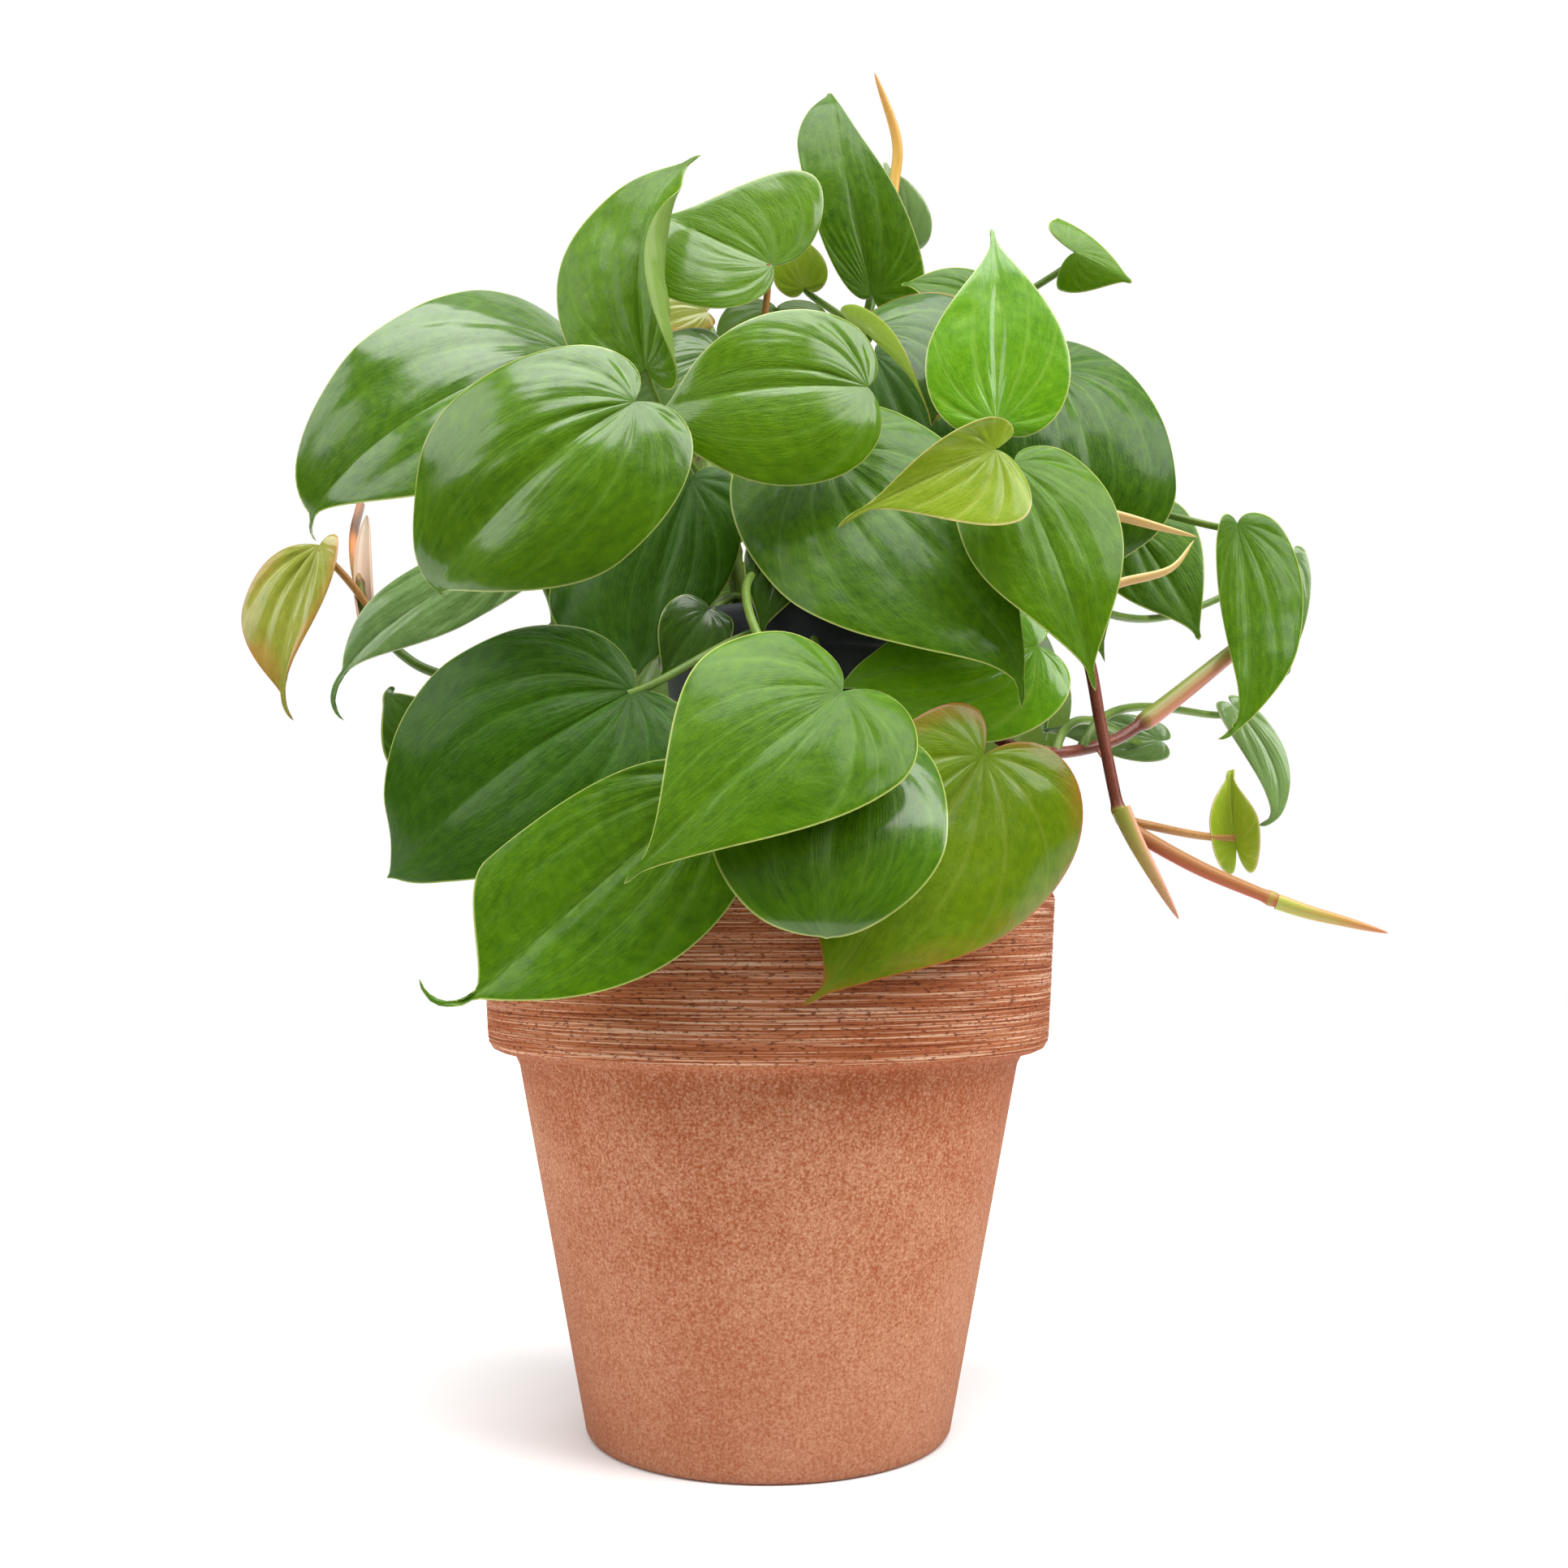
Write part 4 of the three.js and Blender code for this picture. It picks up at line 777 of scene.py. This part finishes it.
green_stalk = rind("green_leaf_stalk_rind", "#56752a", "#7a943c", "#8a7a3a", 0.4)
warm_stalk = rind("reddened_leaf_stalk_rind", "#9c6a36", "#b98a4c", "#8a4a2a", 0.4)
skins = {
    key: blade_skin(name, *look)
    for key, name, *look in (
        ("mid", "mid_green_leaf_skin", "#2c5600", "#628e00", "#76a03c", "#bcc86c", "#8aa650"),
        ("dark", "dark_green_leaf_skin", "#1c3c00", "#466a00", "#5f8c34", "#a5b45a", "#78a03a"),
        ("old", "dull_old_green_leaf_skin", "#173c00", "#3f6a00", "#547f2c", "#a5b45a", "#7c9a4e", 0.36, 0.1),
        ("dull", "dull_green_leaf_skin", "#2c5600", "#628e00", "#76a03c", "#bcc86c", "#8aa650", 0.36, 0.2),
        # The rolled skin's back is the pale underside, brightened further as painted light on the folded strip
        # of centre_folded, which lies in shade.
        ("rolled", "dull_green_leaf_skin_with_pale_back", "#2c5600", "#628e00", "#76a03c", "#c47c50", "#c4e656",
         0.36, 0.4),
        ("light", "bright_green_leaf_skin", "#4a8a00", "#88bf10", "#a4cc54", "#d3da84", "#9ab458"),
        ("young", "young_yellow_leaf_skin", "#7b9a10", "#a9bf34", "#c4cc64", "#d8c684", "#a3b454", 0.32, 0.4),
        ("bronze", "bronze_leaf_skin", "#7e8620", "#a6ac40", "#c8cc7c", "#b87a3c", "#949450", 0.28, 0.8, 0.8),
        ("grey", "shaded_grey_green_leaf_skin", "#4c6c30", "#789a52", "#90a870", "#b9c090", "#80986a", 0.4),
        ("olive", "olive_leaf_skin", "#486800", "#748f04", "#8e9a3c", "#b0582c", "#74863a", 0.3, 0.35, 0.35),
    )
}


def leaf(name, colour, notch, tip, face, half, bend, stem, place, wide=(0.22, 0.22), point=(1.41, 1.41),
         lobe=(0.12, 0.12), drip=0.04, fold=(8, 8), curl=(-25, -25), sway=0, hook=(0, 0), lift=-2, rise=None,
         reach=None, grown=False, sun=0.5, red=False, skin=None, **relief):
    """Blade and stalk in one mesh, for the leaf's own node or, grown, for part of its stem's. The stalk leaves
    the stem's curve at the share place, climbs by rise, and comes in under the notch by reach; unless given,
    both follow from the way it has to go. Each pair is for the left and the right half, as the upper side is
    seen with the tip up. The per-leaf green level moves the skin's greens from deep to bright: partly the
    leaf's own tone, partly painted light and shade that set each leaf as bright as it shows lit or shaded."""
    notch, tip, face = (np.array(v, float) for v in (notch, tip, face))
    rib = midrib(notch, tip, face, bend, sway, hook)
    _, directions, _, top = rib
    length = np.linalg.norm(tip - notch)
    count, rings = (30, 12) if grown else (56, 24)
    seed = sum(map(ord, name))
    upper, upper_faces, values = blade(
        rib, length, half, wide, point, lobe, drip, fold, curl, lift, count, rings, seed, **relief
    )
    stem_steps = (len(shoot_points[stem]) - 1) * 200
    root = smooth_path(shoot_points[stem], stem_steps + 1)[round(place * stem_steps)]
    way = np.linalg.norm(notch - root)
    ahead = directions[0]
    up = unit(top - ahead * (ahead @ top))
    climb = root + (rise if rise else 0.15 * (notch - root) + np.array([0, 0, 0.3 * way]))
    come = notch + (reach if reach else -0.3 * way * up - 0.1 * way * ahead)
    tube, tube_faces, tube_values = stalk(root, climb, come, notch - 0.6 * up + 1.5 * ahead)
    faces = upper_faces + [group + len(upper) for group in tube_faces]
    finish = np.repeat([0, 1], [sum(map(len, upper_faces)), sum(map(len, tube_faces))])
    both = {key: np.concatenate([v, np.zeros(len(tube))]) for key, v in values.items()}
    both |= {key: np.concatenate([np.zeros(len(upper)), v]) for key, v in tube_values.items()}
    points = np.concatenate([upper, tube])
    slot = "stem_green" if grown else "leaf_green" if colour == "mid" else "leaf_" + colour
    piece("leaf_" + name + "_blade", points, faces, [skins[skin or colour], warm_stalk if red else green_stalk],
          slot, stem if grown else "leaf_" + name, smooth=60, finish_of_face=finish,
          sun=np.full(len(points), sun), own=np.full(len(points), seed % 89), **both)


leaf("left_back", "mid", (-66, 20, 347.7), (-147.9, 4, 279.6), (-0.2, -1, 0.2), (39.1, 39.4), 86,
     "leafy_stem_left", 0.6, wide=(0.35, 0.13), point=(1.33, 0.56), lobe=(0.12, 0.09), drip=0.1,
     curl=(-25, -13), sway=17, hook=(51, -24), sun=0.42, puff=0.8)
leaf("left_front", "mid", (-36.3, -84, 298.4), (-91.1, -66, 247.5), (-0.2, -1, 0.05), (33.5, 35.5), 77,
     "stem_left_front", 0.95, wide=(0.37, 0.42), point=(1.67, 1.02), lobe=(0.11, 0.13), drip=0.03,
     curl=(-41, -27), sway=15, hook=(41, 0), puff=0.85)
leaf("left_upright", "mid", (-38.8, -18, 329.8), (-22.9, 4, 409.8), (-0.1, -1, 0.2), (26.8, 26), 28,
     "leafy_stem_left", 0.6, wide=(0.34, 0.26), point=(1.52, 1.37), lobe=(0.06, 0.12), fold=(5, 0),
     curl=(-20, 150), sway=53, hook=(-21, 15), rise=(-5, -10, 0), reach=(3, 8, -14), sun=0.62, skin="dull")
leaf("top_left", "mid", (0.9, 8, 373.4), (-40.5, 14, 393.3), (0, -1, 0.28), (27.4, 38.1), 19,
     "leafy_stem_left", 0.9, wide=(0.56, 0.08), point=(1.02, 1.99), lobe=(0.09, 0.17), drip=0.02, fold=(5, 5),
     curl=(-11, -6), sway=12, hook=(-9, -31), sun=0.8, rise=(12, -4, 10), reach=(-1, 0, -18), red=True,
     puff=0.5)
leaf("top", "dark", (35.2, 34, 373.4), (20.8, 50, 454.2), (0, -1, 0.1), (15.2, 20.4), 55, "leafy_stem_back",
     0.7, wide=(0.62, 0.08), point=(1.31, 1.81), lobe=(0.03, 0.15), drip=0.01, curl=(-8, -24), sway=16,
     hook=(7, -23), skin="dull", sun=0.45, puff=0.6)
leaf("top_small", "light", (49, 66, 405), (42, 66, 436), (0, -1, 0.3), (12, 12), 40, "leafy_stem_back", 0.9,
     skin="grey", sun=1)
leaf("centre", "mid", (28.7, -62, 309.7), (-29.8, -64, 303.1), (0, -1, 0.1), (28.9, 24.9), 53, "stem_centre",
     0.65, wide=(0.4, 0.28), point=(0.63, 0.94), lobe=(0.08, 0.1), drip=0.02, curl=(-32, -27), sway=-2,
     hook=(3, 20), rise=(4, -14, 6), reach=(8, 14, -3), sun=0.68, puff=0.6)
leaf("right_upright", "light", (69.2, -36, 306.8), (70.3, -20, 374.1), (0, -1, 0.2), (22.2, 22.3), 24,
     "stem_right_front", 0.92, wide=(0.26, 0.26), point=(1.9, 1.73), lobe=(0.07, 0.07), drip=0.03,
     curl=(-20, -18), sway=-6, hook=(-5, 0), sun=0.38, puff=0.6)
leaf("centre_folded", "mid", (31.2, -12, 343.4), (50.6, -24, 309.5), (0.1, -1, 0.3), (37, 11.5), 32,
     "stem_centre", 0.9, wide=(0.19, 0.21), lobe=(0.26, 0.29), drip=0.02, fold=(0, 60), curl=(-10, 55),
     sway=17, hook=(1, 26), skin="rolled", sun=0.25)
leaf("top_right_small", "mid", (73, 20, 367), (45, 26, 374), (0, -1, 0.5), (12, 12), 30, "leafy_stem_right",
     0.8, skin="dull", sun=0.5)
leaf("arrow", "mid", (102, 10, 378.8), (120, 6, 367), (0, -1, 0.3), (12.5, 13), 10, "leafy_stem_right", 0.97,
     wide=(-0.66, 0.02), point=(1.15, 1.3), lobe=(0.56, 0.1), fold=(0, -25), lift=0, skin="dull", sun=0.8)
leaf("right_back", "dark", (92.7, 2, 335.2), (100.7, -8, 262.8), (0.1, -1, 0.2), (29.2, 34), 88,
     "leafy_stem_right", 0.6, wide=(0.59, 0.32), point=(0.97, 1.17), lobe=(0.33, 0.12), drip=0.02,
     curl=(-30, -25), sway=28, hook=(4, -43), skin="dull", sun=0.25, puff=0.6)
leaf("young_folded", "young", (62.5, -84, 285.2), (19.3, -84, 263.3), (0, -1, 0.2), (21.2, 9.6), 41,
     "stem_centre", 0.5, wide=(0.08, 0.08), point=(2.17, 1.81), lobe=(0.11, 0.18), drip=0.12, fold=(-5, 20),
     curl=(-2, 35), sway=12, hook=(13, -19), rise=(14, -22, 2), reach=(-6, 26, -2), sun=0.35)
leaf("right_front", "mid", (70.1, -66, 286.1), (91.3, -74, 219.9), (0.1, -1, 0.2), (23.3, 23.2), 44,
     "stem_right_front", 0.95, wide=(0.29, 0.31), point=(1.49, 1.64), lobe=(0.09, 0.14), drip=0.05,
     curl=(-28, -29), hook=(0, -10), rise=(30, -8, 8), reach=(18, 8, 8), sun=0.58, skin="dull", puff=0.75)
leaf("centre_large", "dark", (17.5, -44, 296.6), (71.4, -68, 215.6), (0.1, -1, 0.2), (30.2, 41.9), 29,
     "stem_centre", 0.45, wide=(0.18, 0.29), point=(1.43, 1.27), lobe=(0.13, 0.18), drip=0.06,
     curl=(-29, -26), sway=5, hook=(32, 52), skin="dull", sun=0.38, puff=0.6)
leaf("right_small", "dark", (120.8, 20, 289.9), (141.1, 10, 248.1), (0, -1, 0.3), (19.2, 19.1), 19,
     "leafy_stem_right", 0.45, wide=(0.12, 0.27), point=(1.39, 1.4), lobe=(0.15, 0.12), drip=0.02,
     curl=(-20, -26), sway=1, hook=(1, 13), skin="dull", sun=0.4)
leaf("far_right", "mid", (149.2, -8, 282.5), (138.5, -20, 212.2), (0.1, -1, 0.1), (20.5, 8.9), 4,
     "leafy_stem_right", 0.55, wide=(0.26, 0.29), point=(1.29, 1.57), lobe=(0.07, 0.07), drip=0.08,
     curl=(-33, -26), sway=27, hook=(1, 56), sun=0.5, skin="dull", puff=0.6)
leaf("far_right_edge", "grey", (178.5, 30, 281), (175, 28, 239), (0, -1, 0.3), (6, 4.5), 40, "vine_right",
     0.288, rise=(32, 24, -12), reach=(-43, 14, -26))
leaf("left_dark", "dark", (-23.9, -30, 291), (-38.8, -46, 227.4), (0, -1, 0.1), (20.6, 34.6), 4,
     "stem_left_front", 0.6, wide=(0.32, 0.57), point=(1.21, 0.55), lobe=(0.13, 0.12), drip=0.03,
     curl=(-29, -41), sway=-9, hook=(-13, 17), skin="old", puff=0.6)
leaf("left_narrow", "mid", (-72.6, -42, 266.2), (-124, -46, 214.9), (0, -1, 0.3), (13.1, 11.8), 40,
     "vine_left", 0.35, wide=(0.32, 0.4), point=(1.3, 0.83), lobe=(0.12, 0.08), drip=0.2, curl=(-26, -28),
     sway=-26, hook=(4, -114), skin="grey", sun=0.5)
leaf("far_left_bronze", "bronze", (-135.3, -35.6, 269.4), (-140.2, -41.6, 215.5), (0, -1, 0.3), (6.7, 17.4),
     29, "vine_left", 0.65, wide=(0.18, 0.41), point=(1.84, 1.21), lobe=(0.11, 0), drip=0.15, curl=(-26, -25),
     sway=-7, hook=(8, -58), rise=(-3, 2, 8), reach=(7, 3, -8), sun=0.38, puff=1.3, red=True)
leaf("left_curled", "dark", (-95, -48, 206), (-109, -48, 224), (0, -1, 0.3), (14, 9), 40, "vine_left", 0.43,
     hook=(0, 170))
leaf("lower_left_back", "dark", (-37.2, -74, 220), (-106.2, -64, 168.5), (-0.1, -1, 0.2), (37.9, 37.5), 69,
     "stem_front", 0.3, wide=(0.15, 0.4), point=(1.12, 1.08), lobe=(0.12, 0.07), drip=0.02, curl=(-23, -25),
     sway=-5, hook=(-4, 47), rise=(-14, -22, 2), reach=(12, 3, 3), skin="old", puff=0.9)
leaf("lower_left_front", "mid", (-13, -95, 193), (-89.6, -97, 141.4), (-0.1, -1, 0.2), (28.6, 25.3), 10,
     "stem_front", 0.75, wide=(0.31, 0.58), point=(0.96, 1.87), lobe=(0.03, 0.02), drip=0.17, curl=(-24, -11),
     sway=4, hook=(-22, 124), rise=(-8, -14, 16), sun=0.42, skin="dull", puff=0.6)
leaf("lower_centre", "light", (19.8, -105.8, 215.4), (-35.1, -113.8, 165.9), (0, -1, 0.3), (28.4, 32.2), 50,
     "stem_front", 0.6, wide=(0.08, 0.2), point=(1.39, 2.17), lobe=(0.15, 0.1), curl=(-30, -30), sway=1,
     hook=(18, 15), rise=(-34, -42, 8), reach=(-10, 14, -14), skin="dull", sun=0.5, puff=0.6)
leaf("lower_dark", "dark", (22.8, -88, 204.3), (15.5, -106, 152.1), (0, -1, 0.2), (29, 32.7), 64,
     "stem_front", 0.5, wide=(0.49, 0.48), point=(0.67, 0.55), lobe=(0.16, 0.12), drip=0.01, curl=(-17, -12),
     sway=-17, hook=(27, -6), rise=(2, -22, -6), reach=(2, 18, -10), sun=0.4, skin="mid", puff=1.3)
leaf("lower_right_olive", "olive", (59.9, -72, 202.1), (9.4, -96, 134.7), (0.1, -1, 0.2), (41, 27.8), 0,
     "stem_right_front", 0.45, wide=(0.12, 0.49), point=(1.3, 1.6), lobe=(0.17, 0.16), drip=0.06,
     curl=(-53, -15), sway=2, hook=(5, 28), rise=(20, -22, 28), reach=(-9, 21, -14), puff=0.6)
# Painted light: this leaf stands in shade under centre_large, and its bright skin and raised greens make it as
# light as a lit leaf.
leaf("lower_right_back", "mid", (77.9, -52, 236), (21, -57, 223), (0, -1, 0.3), (26, 17.2), 19,
     "stem_right_front", 0.6, wide=(0.31, 0.25), point=(1.29, 1.01), lobe=(0.15, 0.12), drip=0.01,
     curl=(-30, -27), sway=11, hook=(-1, -27), rise=(14, -6, 20), skin="light", sun=0.5)
leaf("inner_pointed", "dark", (5, -52, 269), (-2, -58, 238), (0, -1, 0.3), (12, 10), 40, "stem_front", 0.3,
     rise=(-4, -6, 10), reach=(-1, 8, -8))
leaf("inner_dark", "dark", (-17.5, -49, 247), (-31, -51, 226), (0, -1, 0.3), (11, 11), 40, "stem_left_front",
     0.3, fold=(12, 12))
leaf("vine_grey", "grey", (132, 30, 217), (93, 35, 221), (0, -1, 0.3), (9, 8), 40, "vine_lower_right", 0.7)
leaf("vine_hanging", "grey", (153, 15, 227), (158, 5, 187), (0, -1, 0.3), (6, 7.5), 40, "vine_lower_right",
     0.75, wide=(0.32, 0.32), point=(1.17, 1.17), sway=60, hook=(0, 90), sun=1)
leaf("vine_young", "young", (142, -26, 180), (141, -25, 203), (-0.7, -1, 0.2), (9, 10), 20, "vine_right",
     0.65, lobe=(0.42, 0.42), drip=0.1, fold=(40, 50), curl=(30, -60), hook=(20, 0), rise=(12, 1, -2),
     reach=(-12, -2, 1), wave=1.6, red=True)
leaf("inner_bronze", "bronze", (-23, 45, 371), (-46, 48, 363), (0, -1, 0.3), (8, 12), 40, "leafy_stem_left",
     0.98)
leaf("inner_grey", "grey", (-17, 5, 343), (-55, 0, 321), (0, -1, 0.3), (18, 14), 40, "leafy_stem_left", 0.55)
leaf("inner_young", "young", (12, 44, 380), (5, 46, 402), (0, -1, 0.3), (10, 10), 40, "leafy_stem_back", 0.8)
# The far side, which fills the bush as seen from the back: older dark leaves, grown on the three leafy shoots.
rear_leaves = [
    ((-48, 50, 322), (-76, 84, 262), (-0.5, 1, 0.5), (30, 30), 50, "leafy_stem_left", 0.5),
    ((0, 66, 345), (-22, 112, 290), (-0.2, 1, 0.6), (30, 30), 50, "leafy_stem_back", 0.5),
    ((48, 70, 322), (52, 115, 262), (0.1, 1, 0.5), (29, 30), 50, "leafy_stem_back", 0.45),
    ((88, 52, 312), (124, 84, 252), (0.6, 1, 0.5), (28, 28), 50, "leafy_stem_right", 0.5),
    ((-38, 60, 258), (-66, 98, 196), (-0.4, 1, 0.5), (30, 30), 60, "leafy_stem_left", 0.3),
    ((12, 74, 284), (13, 114, 207), (0, 1, 0.5), (33, 31), 60, "leafy_stem_back", 0.3),
    ((74, 60, 252), (98, 96, 190), (0.4, 1, 0.5), (28, 28), 60, "leafy_stem_right", 0.3),
    ((72, 36, 264), (98, 58, 220), (0.8, 0.6, 0.8), (20, 20), 50, "leafy_stem_right", 0.4),
    ((-62, 16, 246), (-108, 26, 198), (-0.8, 0.6, 0.8), (21, 21), 50, "leafy_stem_left", 0.4),
    ((2, 60, 378), (0, 104, 340), (0, 0.7, 1), (22, 22), 50, "leafy_stem_back", 0.55),
]
for number, row in enumerate(rear_leaves, 1):
    leaf(f"rear_{number}", "dark", *row, grown=True)
leaf("rear_11", "dark", (35, 16, 346), (55, 10, 290), (0.1, -1, 0.3), (24, 24), 30, "leafy_stem_right", 0.6,
     grown=True, skin="old")


# Studio: a white table top under five large soft lights. The strongest stands overhead and the next to the
# right; weaker ones from the left, the front and the back keep the shadows open.
def table_paper():
    """Matt white background paper."""
    made, node = material("matt_background_paper")
    shader = node("BsdfPrincipled", {"Base Color": (0.92, 0.92, 0.92, 1), "Roughness": 1,
                                     "Specular IOR Level": 0})
    node("OutputMaterial", [shader])
    return made


table_mesh = bpy.data.meshes.new("white_table")
table_mesh.from_pydata([(-1.6, -0.25, 0), (1.6, -0.25, 0), (1.6, 2.4, 0), (-1.6, 2.4, 0)], [], [(0, 1, 2, 3)])
table_mesh.materials.append(table_paper())
white_table = bpy.data.objects.new("white_table", table_mesh)
scene.collection.objects.link(white_table)


def soft_light(name, place, strength, spread, glare):
    """Parallel light that falls from place towards the origin, softened over so many degrees. Without glare
    it brightens surfaces but isn't mirrored in them."""
    light = bpy.data.lights.new(name, "SUN")
    light.energy = strength
    light.angle = math.radians(spread)
    made = bpy.data.objects.new(name, light)
    made.rotation_euler = Vector(place).to_track_quat("Z", "Y").to_euler()
    made.visible_glossy = glare
    scene.collection.objects.link(made)


for name, place, strength, spread in (
    ("right_light", (0.95, -0.45, 0.9), 2.3, 40),
    ("left_light", (-0.95, -0.5, 0.75), 1.5, 44),
    ("top_light", (0.05, -0.25, 1), 3.2, 46),
    ("front_fill", (-0.1, -1, 0.25), 0.4, 60),
    ("back_light", (0.1, 1, 0.8), 0.8, 60),
):
    soft_light(name, place, strength, spread, glare=name != "front_fill")
world = bpy.data.worlds.new("white_surround")
scene.world = world
world.use_nodes = True
world.node_tree.nodes.clear()
node = functools.partial(add, world.node_tree)
strength = node("MapRange", [node("LightPath", give="Is Camera Ray"), 0, 1, 0.1])
node("OutputWorld", [node("Background", {"Color": (1, 1, 1, 1), "Strength": strength})])
scene.view_settings.view_transform = "Standard"
